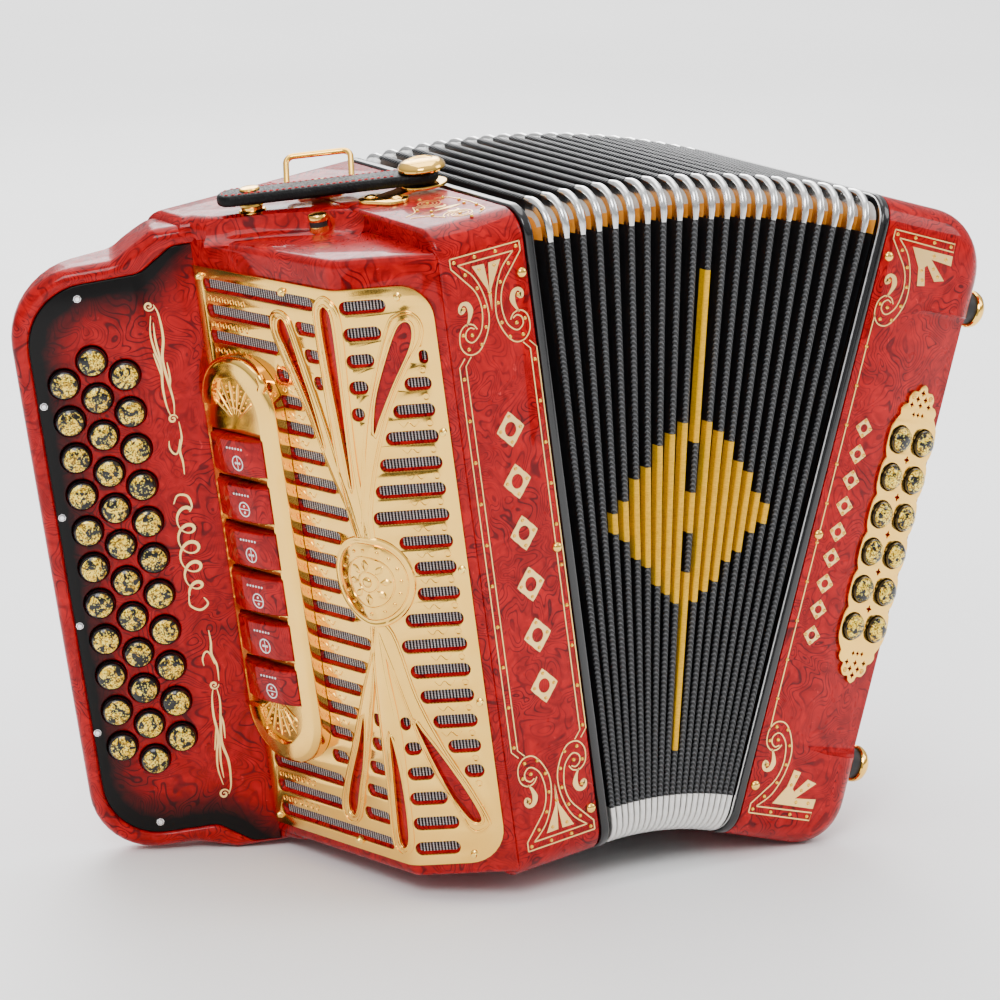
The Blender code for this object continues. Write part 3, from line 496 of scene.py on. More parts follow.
def smooth_path(points, steps=6, closed=False):
    """A curve through the points, each a tuple of any length."""
    points = [Vector(point) for point in points]
    count = len(points)
    spans = count if closed else count - 1
    made = []
    for index in range(spans):
        if closed:
            a, b, c, d = (points[(index + k) % count] for k in (-1, 0, 1, 2))
        else:
            a, b, c, d = (points[min(max(index + k, 0), count - 1)] for k in (-1, 0, 1, 2))
        for step in range(steps):
            t = step / steps
            square = (2 * a - 5 * b + 4 * c - d) * t * t
            cube = (3 * b - a - 3 * c + d) * t**3
            made.append(0.5 * ((2 * b) + (c - a) * t + square + cube))
    if not closed:
        made.append(points[-1])
    return made


def slab(outlines, low, high, placement=Matrix.Identity(4), bevel=0.0, steps=2):
    """A flat outline, with any holes, extruded from low to high, with rounded edges if it has a bevel."""
    curve = bpy.data.curves.new("slab", "CURVE")
    curve.dimensions = "2D"
    curve.fill_mode = "BOTH"
    curve.extrude = ((high - low) / 2 - bevel) * MM
    curve.bevel_depth = bevel * MM
    curve.bevel_resolution = steps
    curve.offset = -bevel * MM
    for outline in outlines:
        spline = curve.splines.new("POLY")
        spline.points.add(len(outline) - 1)
        for point, target in zip(outline, spline.points):
            target.co = (point[0] * MM, point[1] * MM, 0.0, 1.0)
        spline.use_cyclic_u = True
    holder = new_object("slab", curve)
    graph = bpy.context.evaluated_depsgraph_get()
    mesh = bpy.data.meshes.new_from_object(holder.evaluated_get(graph))
    bpy.data.objects.remove(holder)
    bpy.data.curves.remove(curve)
    bm = bmesh.new()
    bm.from_mesh(mesh)
    bpy.data.meshes.remove(mesh)
    bmesh.ops.remove_doubles(bm, verts=bm.verts, dist=2e-6)
    lift = Matrix.Translation((0, 0, (high + low) / 2 * MM))
    bmesh.ops.transform(bm, matrix=placement @ lift, verts=bm.verts)
    return mesh_from(bm)


def inset(outline, amount):
    """The outline moved inwards by an amount, for an outline that runs anticlockwise."""
    count = len(outline)
    made = []
    for index in range(count):
        here = outline[index]
        before = (here - outline[index - 1]).normalized()
        after = (outline[(index + 1) % count] - here).normalized()
        first = Vector((-before.y, before.x))
        second = Vector((-after.y, after.x))
        mitre = (first + second) / max(0.35, 1 + first.dot(second))
        made.append(here + mitre * amount)
    return made


def anticlockwise(outline):
    outline = [Vector(point[:2]) for point in outline]
    area = sum(a.x * b.y - b.x * a.y for a, b in zip(outline, outline[1:] + outline[:1]))
    return outline if area > 0 else outline[::-1]


def skin(bm, rows, capped=True):
    """Faces between each row of corners and the next, with both ends closed if capped."""
    for first, second in zip(rows, rows[1:]):
        count = len(first)
        for index in range(count):
            after = (index + 1) % count
            bm.faces.new((first[index], first[after], second[after], second[index]))
    if capped:
        bm.faces.new(rows[0][::-1])
        bm.faces.new(rows[-1])


def layered(outline, layers, placement=Matrix.Identity(4)):
    """A solid lofted through (height, inset) layers of one outline."""
    outline = anticlockwise(outline)
    bm = bmesh.new()
    rings = []
    for height, amount in layers:
        points = inset(outline, amount) if amount else outline
        rings.append([bm.verts.new((point.x * MM, point.y * MM, height * MM)) for point in points])
    skin(bm, rings)
    bmesh.ops.transform(bm, matrix=placement, verts=bm.verts)
    return mesh_from(bm)


def round_over(low, high, radius, steps=5, both=False):
    """Layers for a block whose top edge, or both edges, are rounded."""
    arc = [math.pi / 2 * step / steps for step in range(steps + 1)]
    top = [(high - radius + radius * math.sin(a), radius * (1 - math.cos(a))) for a in arc]
    if not both:
        return [(low, 0.0), *top]
    return [(low + high - height, amount) for height, amount in reversed(top)] + top


def box(low, high, placement=Matrix.Identity(4)):
    size = [(b - a) * MM for a, b in zip(low, high)]
    middle = [(a + b) / 2 * MM for a, b in zip(low, high)]
    bm = bmesh.new()
    place = placement @ Matrix.Translation(middle) @ Matrix.Diagonal((*size, 1.0))
    bmesh.ops.create_cube(bm, size=1.0, matrix=place)
    return mesh_from(bm)


def ring_corners(bm, radius, height, sides):
    corners = []
    for angle in turn_angles(sides):
        x, y = radius * math.cos(angle), radius * math.sin(angle)
        corners.append(bm.verts.new((x * MM, y * MM, height * MM)))
    return corners


def turned(profile, placement=Matrix.Identity(4), sides=24):
    """A profile of (radius, height) points, on the axis at both ends, spun about z."""
    bm = bmesh.new()
    rings = []
    for radius, height in profile:
        if radius == 0:
            rings.append([bm.verts.new((0, 0, height * MM))])
        else:
            rings.append(ring_corners(bm, radius, height, sides))
    for lower, upper in zip(rings, rings[1:]):
        for side in range(sides):
            after = (side + 1) % sides
            corners = [lower[side % len(lower)], lower[after % len(lower)]]
            corners += [upper[after % len(upper)], upper[side % len(upper)]]
            bm.faces.new(list(dict.fromkeys(corners)))
    bmesh.ops.transform(bm, matrix=placement, verts=bm.verts)
    return mesh_from(bm)


def dome_profile(radius, height, low=-0.4, steps=5):
    arc = [math.pi / 2 * step / steps for step in range(steps + 1)]
    curve = [(radius * math.cos(a), height * math.sin(a)) for a in arc[:-1]]
    return [(0, low), (radius, low), *curve, (0, height)]


def dome(place, radius, height, low=-0.4, steps=5, sides=24):
    return turned(dome_profile(radius, height, low, steps), place, sides)


def tube(points, radius, sides=8, closed=False, placement=Matrix.Identity(4)):
    """A round wire along a 3-D path; radius may be one number or one for each point."""
    points = [Vector(point) for point in points]
    count = len(points)
    radii = radius if isinstance(radius, (list, tuple)) else [radius] * count
    bm = bmesh.new()
    rings = []
    normal = None
    for index, here in enumerate(points):
        before = points[index - 1] if closed or index else here
        after = points[(index + 1) % count] if closed or index < count - 1 else here
        along = (after - before).normalized()
        if normal is None:
            normal = along.orthogonal().normalized()
        normal = (normal - along * normal.dot(along)).normalized()
        side = along.cross(normal)
        ring = []
        for turn in turn_angles(sides):
            out = normal * math.cos(turn) + side * math.sin(turn)
            ring.append(bm.verts.new((here + out * radii[index]) * MM))
        rings.append(ring)
    if closed:
        first, last = rings[0], rings[-1]
        shift = min(range(sides), key=lambda s: (first[s].co - last[0].co).length)
        rings.append(first[shift:] + first[:shift])
    skin(bm, rings, capped=not closed)
    bmesh.ops.transform(bm, matrix=placement, verts=bm.verts)
    return mesh_from(bm)


def stroke(points, width, high=0.22, low=-0.1, closed=False):
    """A flat raised line; width may be one number or one for each point."""
    points = [Vector(point[:2]) for point in points]
    count = len(points)
    widths = width if isinstance(width, (list, tuple)) else [width] * count
    bm = bmesh.new()
    rows = []
    for index, here in enumerate(points):
        before = points[index - 1] if closed or index else here
        after = points[(index + 1) % count] if closed or index < count - 1 else here
        along = (after - before).normalized()
        side = Vector((-along.y, along.x)) * max(widths[index], 0.08) / 2
        corners = [(here - side, low), (here + side, low), (here + side, high), (here - side, high)]
        rows.append([bm.verts.new((p.x * MM, p.y * MM, z * MM)) for p, z in corners])
    if closed:
        rows.append(rows[0])
    skin(bm, rows, capped=not closed)
    return mesh_from(bm)


# ---------------------------------------------------------------- placements

UP = (0.0, 0.0, 1.0)
SECTION = matrix((0, 1, 0), UP, (1, 0, 0), (0, 0, 0))
PLAN = Matrix.Identity(4)
FRONT = matrix((1, 0, 0), UP, (0, -1, 0), (0, -HALF_DEPTH, 0))
BACK = matrix((-1, 0, 0), UP, (0, 1, 0), (0, HALF_DEPTH, 0))
BASS_END = matrix((0, 1, 0), UP, (1, 0, 0), (BASS_WIDTH, 0, 0))
SIDE_VIEW = matrix((1, 0, 0), UP, (0, -1, 0), (0, 0, 0))


def face(start, end):
    along = (Vector(end) - Vector(start)).normalized()
    return matrix((along.x, along.y, 0), UP, (along.y, -along.x, 0), (start[0], start[1], 0))


ARM_DIRECTION = Vector((-math.cos(ARM_SLANT), math.sin(ARM_SLANT)))


def arm_point(distance, out=0.0):
    outward = Vector((-math.sin(ARM_SLANT), -math.cos(ARM_SLANT)))
    return Vector(COVER_BACK) + ARM_DIRECTION * distance + outward * out


ARM = face(COVER_BACK, Vector(COVER_BACK) - ARM_DIRECTION)
GRILLE_SIDE = face(COVER_BACK, COVER_CREASE)
BASS_PANEL = face(BASS_PANEL_START, BASS_PANEL_END)


def on_arm(corners):
    return [(-corner[0], *corner[1:]) for corner in corners]


def section_outline(margin=0.0):
    side = HALF_DEPTH - margin
    return rounded(rectangle((-side, margin), (side, HEIGHT - margin), CORNER), 8)


def back_line(x):
    share = (x - ARM_BACK_INNER[0]) / (ARM_BACK_OUTER[0] - ARM_BACK_INNER[0])
    return ARM_BACK_INNER[1] + share * (ARM_BACK_OUTER[1] - ARM_BACK_INNER[1])


def walk_bellows():
    here, angle = Vector((FRAME_THICKNESS, 0.0)), 0.0
    step = math.radians(FAN_ANGLE) / (FOLDS + 1)
    planes = []
    for _ in range(FOLDS + 1):
        here = here + Vector((math.cos(angle), -math.sin(angle))) * FOLD_PITCH / 2
        angle += step
        here = here + Vector((math.cos(angle), -math.sin(angle))) * FOLD_PITCH / 2
        planes.append((here, angle))
    return planes


def tilted(here, angle):
    return Matrix.Translation((here.x * MM, 0, here.y * MM)) @ Matrix.Rotation(angle, 4, "Y")


TREBLE = Matrix.Translation(Vector(TREBLE_AT) * MM) @ Matrix.Rotation(math.radians(TREBLE_LEAN), 4, "Y")
PLANES = walk_bellows()
FOLD_FRAMES = [TREBLE @ tilted(*plane) for plane in PLANES[:FOLDS]]
BASS = TREBLE @ tilted(*PLANES[-1]) @ Matrix.Translation((FRAME_THICKNESS * MM, 0, 0))
HOMES = {"treble": TREBLE, "bass": BASS}

# ---------------------------------------------------------------- camera, floor and light


CAMERA_YAW, CAMERA_PITCH = math.radians(30.83), math.radians(13.57)
CAMERA_DISTANCE, CAMERA_LENS = 2.24414, 166.4
CAMERA_TARGET = Vector((-10.7, -1.7, 174.22)) * MM


def place_camera():
    level = math.cos(CAMERA_PITCH)
    forward = Vector((math.sin(CAMERA_YAW) * level, math.cos(CAMERA_YAW) * level, -math.sin(CAMERA_PITCH)))
    camera = new_object("camera", bpy.data.cameras.new("camera"))
    camera.location = CAMERA_TARGET - forward * CAMERA_DISTANCE
    camera.rotation_euler = forward.to_track_quat("-Z", "Y").to_euler()
    camera.data.lens = CAMERA_LENS
    camera.data.sensor_width = 36.0
    camera.data.clip_end = 30.0
    bpy.context.scene.camera = camera


def lay_floor():
    """A pale floor, and two dark flags that only reflections see."""
    floor_surface = plain("pale_floor", (0.93, 0.93, 0.93), 0.0, 0.6, 3.0, 0.01)
    floor = new_object("floor", box((-9000, -9000, -20), (9000, 9000, -0.2)))
    floor.data.materials.append(floor_surface)

    flag_surface = plain("dark_flag", (0.02, 0.02, 0.02), 0.0, 0.9, 5.0, 0.1)
    for name, place, turn, size in (
        ("flag_left", (-1.02, -0.80), 52.0, (0.34, 0.20)),
        ("flag_right", (1.05, -1.35), -38.0, (0.5, 0.35)),
    ):
        upright = Matrix.Translation((*place, 0.0)) @ Matrix.Rotation(math.radians(turn), 4, "Z")
        half, height = size[0] / MM, size[1] / MM
        flag = new_object(name, box((-half, -5, 0), (half, 5, height)))
        flag.matrix_world = upright
        flag.data.materials.append(flag_surface)
        for rays in ("visible_camera", "visible_diffuse", "visible_shadow"):
            setattr(flag, rays, False)


def light_world():
    world = bpy.data.worlds.new("studio")
    bpy.context.scene.world = world
    world.use_nodes = True
    tree = world.node_tree
    background = tree.nodes["Background"]
    split = tree.nodes.new("ShaderNodeSeparateXYZ")
    tree.links.new(tree.nodes.new("ShaderNodeTexCoord").outputs["Generated"], split.inputs[0])
    ramp = tree.nodes.new("ShaderNodeValToRGB")
    tree.links.new(split.outputs[2], ramp.inputs[0])
    ramp.color_ramp.elements[0].position = 0.05
    ramp.color_ramp.elements[0].color = (0.42, 0.42, 0.43, 1.0)
    ramp.color_ramp.elements[1].position = 0.75
    ramp.color_ramp.elements[1].color = (1.0, 1.0, 1.0, 1.0)
    tree.links.new(ramp.outputs[0], background.inputs[0])
    background.inputs[1].default_value = 1.15


def hang_lights():
    lights = [
        ("key", (-1.3, -1.5, 1.7), 0.9, 34.0),
        ("fill", (1.7, -1.0, 1.2), 1.0, 16.0),
        ("top", (0.1, 0.3, 2.1), 1.6, 34.0),
        ("rim", (0.8, 1.8, 1.2), 1.0, 16.0),
        ("backdrop", (1.6, 3.2, 2.6), 3.0, 150.0),
    ]
    for name, place, size, power in lights:
        light = new_object(name, bpy.data.lights.new(name, "AREA"))
        light.location = place
        aim = Vector((1.4, 2.6, 0.0)) if name == "backdrop" else Vector((0, 0, 0.16))
        light.rotation_euler = (aim - Vector(place)).to_track_quat("-Z", "Y").to_euler()
        light.data.size = size
        light.data.energy = power


# ---------------------------------------------------------------- treble casing, arm and cover


def button_pocket():
    pocket = [
        arm_point(30, 9), arm_point(79, 9), arm_point(79), (-175.2, 88.3), (-130.4, 87.3), arm_point(30)
    ]
    return slab([pocket], 44.0, 268.0)


def treble_shells():
    casing = slab([section_outline()], -TREBLE_WIDTH, 0.0, SECTION, 2.2, 4)
    chamber = box((-41.0, -HALF_DEPTH + WALL, WALL), (10.0, HALF_DEPTH - WALL, HEIGHT - WALL))
    mouth = box((-60.0, -77.0, 12.0), (-30.0, -20.0, HEIGHT - 14.0))
    pearled("treble_casing_shell", carve(casing, [chamber, mouth]), "treble", ["treble_casing"])
    block = [(-36.0, -16.0), *RIDGE, arm_point(0.0, -0.5), arm_point(5.0, -0.5)]
    block += [(-107.6, back_line(-107.6)), (-TREBLE_WIDTH, HALF_DEPTH + 8.0), (-36.0, HALF_DEPTH + 8.0)]
    shoulder = layered(block, round_over(1.0, HEIGHT - 0.4, 6.5, 6, both=True))
    shoulder = carve(shoulder, [slab([section_outline(0.1)], -130.0, -41.5, SECTION)], "INTERSECT")
    inner = box((-49.5, -90.0, WALL), (-30.0, HALF_DEPTH - WALL - 2, HEIGHT - 14.0))
    flare = [(-3.6, 0.0), (-1.6, 0.0), (-0.8, -0.25), (-0.2, -0.9), (0.2, -2.2), (3.0, -2.2)]
    beside = layered(plate_outline(0.3, 12), flare, ARM)
    pearled("arm_shoulder", carve(shoulder, [inner, beside]), "treble")

    rim = [
        (-14, 0.5), (-14, 316), (18, 316, 9), (38, 304, 14), (92, 303, 35), (89.5, 8, 32), (42, 7, 10),
        (22, 0.5, 8),
    ]
    arm = layered(rounded(on_arm(rim), 10), round_over(-60.0, 0.0, 5.5, 7), ARM)
    behind_edge = rounded([(-140, -30), (93.2, -30), (93.2, 316.5, 20), (-140, 316.5)], 8)
    arm = carve(arm, [slab([behind_edge], -230.0, 20.0, SECTION)], "INTERSECT")
    behind = [(10, HALF_DEPTH), ARM_BACK_INNER, ARM_BACK_OUTER, (-205, 93.7), (-205, 160), (10, 160)]
    beyond = slab([behind], -20.0, 340.0)
    recess = layered(plate_outline(0.3, 12), flare, ARM)
    pearled("keyboard_arm", carve(arm, [beyond, recess, button_pocket()]), "treble")


def plate_outline(grow=0.0, steps=8):
    low, high, end = 2.5 - grow, 307 + grow, 84 + grow
    corners = [(0.5 - grow, high), (10, high, 7), (27, 296 + grow, 12), (end, 294.5 + grow, 30)]
    corners += [(end - 1.5, 16 - grow, 28), (30, 15 - grow, 9), (14, low + 1, 6), (0.5 - grow, low)]
    return rounded(on_arm(corners), steps)


SIDE = (Vector(COVER_CREASE) - Vector(COVER_BACK)).normalized()
SLOPE = (Vector(COVER_FRONT) - Vector(COVER_CREASE)).normalized()
SIDE_OUT = Vector((SIDE.y, -SIDE.x))
SLOPE_OUT = Vector((SLOPE.y, -SLOPE.x))
SIDE_LENGTH = (Vector(COVER_CREASE) - Vector(COVER_BACK)).length
BEND = SIDE_OUT.angle(SLOPE_OUT)
TANGENT = CREASE_RADIUS * math.tan(BEND / 2)


def bent_point(distance, out):
    """The place in plan of a point by its distance round the cover's bend and its height off the face."""
    if distance <= SIDE_LENGTH - TANGENT:
        return Vector(COVER_BACK) + SIDE * distance + SIDE_OUT * out
    if distance >= SIDE_LENGTH + TANGENT:
        return Vector(COVER_CREASE) + SLOPE * (distance - SIDE_LENGTH) + SLOPE_OUT * out
    share = (distance - SIDE_LENGTH + TANGENT) / (2 * TANGENT)
    centre = Vector(COVER_BACK) + SIDE * (SIDE_LENGTH - TANGENT) - SIDE_OUT * CREASE_RADIUS
    angle = math.atan2(SIDE_OUT.y, SIDE_OUT.x) + BEND * share
    return centre + Vector((math.cos(angle), math.sin(angle))) * (CREASE_RADIUS + out)


def bent(mesh):
    """A flat mesh, x round the bend, y up and z out, wrapped onto the cover's face."""
    bm = bmesh.new()
    bm.from_mesh(mesh)
    bpy.data.meshes.remove(mesh)
    for step in range(7):
        place = (SIDE_LENGTH - TANGENT + 2 * TANGENT * step / 6) * MM
        everything = list(bm.verts) + list(bm.edges) + list(bm.faces)
        bmesh.ops.bisect_plane(bm, geom=everything, dist=1e-7, plane_co=(place, 0, 0), plane_no=(1, 0, 0))
    for vertex in bm.verts:
        plan = bent_point(vertex.co.x / MM, vertex.co.z / MM)
        vertex.co = Vector((plan.x * MM, plan.y * MM, vertex.co.y))
    return mesh_from(bm)


def face_path(out, before=0.0):
    start = Vector(COVER_BACK) + SIDE_OUT * out - SIDE * before
    end = Vector(COVER_FRONT) + SLOPE_OUT * out
    arc = [bent_point(SIDE_LENGTH - TANGENT + 2 * TANGENT * step / 8, out) for step in range(9)]
    return [start, *arc, end]


# Each petal: its loop on the grille, by distance round the bend and height, and its open slit
PETALS = [
    (
        [(101, 170), (95, 186), (85, 206), (74, 232), (62, 255), (55, 271), (56, 280), (63, 283), (70, 279),
         (75, 266), (83, 242), (92, 212), (99, 190), (103, 172)],
        [
            (82.5, 218), (76, 238), (66, 260), (60.5, 271), (60.5, 276.5), (64, 278.5), (67.5, 274),
            (73, 256), (79, 236),
        ],
    ),
    (
        [(98, 174), (92, 196), (89.5, 225), (88.5, 255), (88.5, 284), (92, 291), (98, 294), (104, 290),
         (106, 280), (105, 250), (104, 215), (105, 190), (106, 176)],
        [
            (99.2, 200), (96.5, 230), (94, 262), (93.5, 283), (96, 288), (99, 288), (101, 283), (101, 262),
            (100.2, 230),
        ],
    ),
    (
        [(101, 174), (104, 200), (110, 232), (118, 258), (126.5, 279), (131, 284), (138, 285), (143, 280),
         (142.5, 271), (134, 258), (123.5, 239), (114, 214), (108, 190), (107, 175)],
        [
            (114, 228), (117, 244), (124, 262), (131, 276.5), (135.5, 280), (138, 277), (136, 268),
            (126, 251), (117.5, 235),
        ],
    ),
    (
        [(100, 138), (96, 120), (86, 100), (74, 74), (60, 45), (56, 33), (58, 26.5), (63.5, 25), (70, 30),
         (77, 48), (88, 80), (96, 106), (104, 136)],
        [(83, 84), (76, 68), (66, 48), (61.5, 35), (64, 30), (67.5, 33.5), (72, 46), (78, 62)],
    ),
    (
        [(99, 136), (96, 108), (94.5, 80), (93.5, 50), (92, 24), (94.5, 18), (99, 16), (104, 19.5), (106, 27),
         (106.5, 50), (107, 80), (105, 110), (104, 136)],
        [(101.2, 78), (99.5, 60), (97.5, 34), (97.5, 24), (100, 20.5), (103, 25), (104, 42), (103.4, 62)],
    ),
    (
        [(101, 138), (106, 112), (112, 86), (121, 58), (130.5, 34), (133, 29), (137, 27), (142.5, 29.5),
         (143.5, 34), (137, 50), (126, 73), (117, 98), (110, 130)],
        [
            (114.5, 84), (119, 66), (127, 47), (134, 35), (138.5, 33), (139, 37), (133, 51), (124, 68),
            (117, 80),
        ],
    ),
]
MEDALLION = (101.5, 155.5)
MEDALLION_RADIUS = 22.5


def inside_outline(point, outline):
    hit = False
    for a, b in zip(outline, outline[1:] + outline[:1]):
        if (a[1] > point[1]) != (b[1] > point[1]):
            if point[0] < (b[0] - a[0]) * (point[1] - a[1]) / (b[1] - a[1]) + a[0]:
                hit = not hit
    return hit


def slot_rows():
    """The free spans of every row of slots: what the petals, medallion and register housing leave."""
    loops = [smooth_path(loop, 5, closed=True) for loop, _ in PETALS]
    spans = []
    for row in range(SLOT_ROWS):
        middle = SLOT_TOP - SLOT_PITCH * row
        left = 53.5 if 48.0 < middle < 262.0 else 5.5
        right = 144.0
        if middle > 282 or middle < 26:
            right = 127.5
        elif middle > 270 or middle < 38:
            right = 134.0 if middle > 270 else 128.5
        start = None
        place = left
        while place <= right + 0.01:
            covered = place > right - 0.01
            for level in (middle - 3.2, middle, middle + 3.2):
                centre = Vector((place - MEDALLION[0], level - MEDALLION[1]))
                covered = covered or centre.length < MEDALLION_RADIUS
                covered = covered or any(inside_outline((place, level), loop) for loop in loops)
            if not covered and start is None:
                start = place
            if covered and start is not None:
                if place - start > 4.0:
                    spans.append((start, place, middle))
                start = None
            place += 0.25
    parts = []
    for start, end, middle in spans:
        if start < SIDE_LENGTH - 3 < SIDE_LENGTH + 3 < end:
            parts += [(start, SIDE_LENGTH - 1.2, middle), (SIDE_LENGTH + 1.2, end, middle)]
        else:
            parts.append((start, end, middle))
    return parts


def grille_cover(spans):
    outline = [(-40.0, -80.0), *face_path(0.0, 7.0)[::-1], (-90.0, 66.0), (-40.0, 66.0)]
    cover = layered(outline, round_over(COVER_LOW, COVER_HIGH, 4.0, 5, both=True))
    inside = [*face_path(-3.0)[::-1], (-85.0, 60.0), (-44.0, 60.0)]
    hollow = layered(inside, [(COVER_LOW + 3.0, 0.0), (COVER_HIGH - 4.5, 0.0)])
    slots = []
    for start, end, middle in spans:
        radius = min(2.2, (end - start) / 2 - 1.0)
        outline = rounded(rectangle((start + 0.9, middle - 2.3), (end - 0.9, middle + 2.3), radius), 4)
        slots.append(bent(layered(outline, [(-6.0, 0.0), (-1.3, 0.0), (0.05, -1.1), (1.5, -1.1)])))
    cover = carve(cover, [hollow, joined(slots)])
    pearled("grille_cover_shell", cover, "treble", ["grille_cover"])

    rise = [
        (-0.6, 8.5), (0.1, 7.6), (1.6, 5.0), (3.6, 2.6), (6.4, 1.0), (10.0, 0.25), (12.0, -1.5), (-0.6, -1.5)
    ]
    path = smooth_path([(x, y, 0.0) for x, y in [(-46.5, -22.0), *RIDGE]], 4)
    bm = bmesh.new()
    rows = []
    for index, here in enumerate(path):
        before = path[max(index - 1, 0)]
        after = path[min(index + 1, len(path) - 1)]
        along = (after - before).normalized()
        out = Vector((along.y, -along.x, 0.0))
        out = -out if out.x > 0 else out
        taper = min(1.0, 0.35 + index / 9.0)
        row = []
        for reach, height in rise:
            point = here + out * (reach * taper) + Vector((0, 0, COVER_HIGH + height))
            row.append(bm.verts.new(point * MM))
        rows.append(row)
    skin(bm, rows)
    pearled("cover_ridge_fillet", mesh_from(bm), "treble", sharp=60.0)

    backing = [*face_path(-1.5), *face_path(-2.3)[::-1]]
    cloth = slab([backing], 14.0, 300.0)
    clear = box((-48.7, -100, 0), (0, 100, 330))
    behind_arm = box((-120.0, 46.0, 0), (-80.0, 100.0, 330))
    cloth = carve(cloth, [clear, behind_arm])
    add("grille_mesh_cloth", cloth, MESH, "treble", TREBLE, ["grille_cloth"])


def grille_plate(spans):
    right = SIDE_LENGTH + 45.8
    corners = [(-0.2, GRILLE_LOW), (right, GRILLE_LOW, 18), (right, GRILLE_HIGH, 16), (-0.2, GRILLE_HIGH)]
    outline = rounded(corners, 8)
    holes = []
    for start, end, middle in spans:
        radius = min(3.1, (end - start) / 2 - 0.1)
        holes.append(rounded(rectangle((start, middle - 3.2), (end, middle + 3.2), radius), 5))
    slits = [smooth_path(slit, 4, closed=True) for _, slit in PETALS]
    plate = bent(slab([outline, *holes, *slits], 0.3, 1.5, bevel=0.3, steps=1))
    gilt("grille_gold_plate", plate, "treble", ["grille_plate"])

    ribbons = []
    beads = []
    for loop, slit in PETALS:
        outer = anticlockwise(smooth_path(loop, 5, closed=True))
        inner = anticlockwise(smooth_path(slit, 5, closed=True))
        ribbons.append(bent(slab([outer, inner], 1.2, 2.3, bevel=0.35, steps=2)))
        for path, amount in ((outer, 1.3), (inner, -1.2)):
            line = inset(path, amount)
            beads.append(bent(tube([(p.x, p.y, 2.25) for p in line], 0.5, 6, closed=True)))
    gilt("grille_petals", joined(ribbons), "treble")
    gilt("grille_petal_beads", joined(beads), "treble", sharp=60.0)

    x, y = MEDALLION
    steps = [(0.8, 0.0), (2.2, 0.0), (3.0, 0.6), (3.1, 1.6), (2.7, 2.4), (2.7, 3.6), (3.0, 4.2), (3.0, 16.0)]
    disc = [bent(layered(circle(MEDALLION, MEDALLION_RADIUS, 64), steps))]
    for ring_radius, wire in ((19.0, 0.35), (12.5, 0.45), (5.0, 0.4)):
        ring = [(x + ring_radius * math.cos(a), y + ring_radius * math.sin(a), 3.0) for a in turn_angles(48)]
        disc.append(bent(tube(ring, wire, 6, closed=True)))
    for angle in turn_angles(16):
        spot = Vector((x, y)) + Vector((math.cos(angle), math.sin(angle))) * 15.8
        disc.append(moved_to_bend(turned(dome_profile(0.95, 0.7, -0.2, 3), sides=10), spot, 3.0))
    for angle in turn_angles(8):
        leaf = []
        for share in (0.0, 0.25, 0.5, 0.75, 1.0, 0.75, 0.5, 0.25):
            width = 1.7 * math.sin(math.pi * share) * (1 if len(leaf) < 4 else -1)
            reach = 5.6 + 5.8 * share
            along, across = math.cos(angle), math.sin(angle)
            leaf.append((x + reach * along - width * across, y + reach * across + width * along))
        disc.append(bent(layered(smooth_path(leaf, 3, closed=True), [(2.8, 0.0), (3.2, 0.1), (3.6, 0.7)])))
    disc.append(moved_to_bend(turned(dome_profile(2.6, 1.3, -0.2, 5), sides=20), Vector(MEDALLION), 3.0))
    gilt("grille_medallion", joined(disc), "treble")

    relief = []
    for row in range(SLOT_ROWS - 1):
        level = SLOT_TOP - SLOT_PITCH * (row + 0.5)
        places = [140.6] if 38 < level < 270 else []
        if 66 < level < 255:
            places.append(58.2)
        elif level > 255 or level < 48:
            places += [10.0 + 4.2 * k for k in range(7)]
        for place in places:
            ring = [(place + 1.35 * math.cos(a), level + 1.35 * math.sin(a), 1.5) for a in turn_angles(14)]
            relief.append(bent(tube(ring, 0.33, 5, closed=True)))
        if 66 < level < 255:
            for start in (61.5, 126.0 if not 236 < level < 280 else 0.0):
                if start:
                    path = smooth_path(
                        [(start + k * 2.4, level + 1.1 * (-1) ** k, 1.45) for k in range(5)], 4
                    )
                    relief.append(bent(tube(path, 0.28, 5)))
    gilt("grille_relief", joined(relief), "treble", sharp=60.0)

    screws = []
    spots = [(4, 292), (67, 292), (4, 17), (66, 17), (SIDE_LENGTH + 30, 292), (SIDE_LENGTH + 42.7, 226)]
    spots += [(SIDE_LENGTH + 42.7, 159), (SIDE_LENGTH + 42.7, 93), (SIDE_LENGTH + 30, 16.5)]
    for spot in spots:
        head = [(0, -0.5), (2.1, -0.5), (2.1, 0.5), (1.5, 0.9), (1.7, 1.3), (1.2, 2.2), (0, 2.5)]
        screws.append(moved_to_bend(turned(head, sides=14), Vector(spot), 1.5))
    screw_gold = gold("screw_gold", (1.0, 0.68, 0.16), 0.14)
    add("grille_screws", joined(screws), screw_gold, "treble", TREBLE)


def moved_to_bend(mesh, spot, out):
    """A small mesh, its z axis outwards, set on the cover's face."""
    here = bent_point(spot.x, out)
    ahead = bent_point(spot.x + 0.5, out)
    along = (ahead - here).normalized()
    return moved(mesh, matrix((along.x, along.y, 0), UP, (along.y, -along.x, 0), (here.x, here.y, spot.y)))


# ---------------------------------------------------------------- keyboard


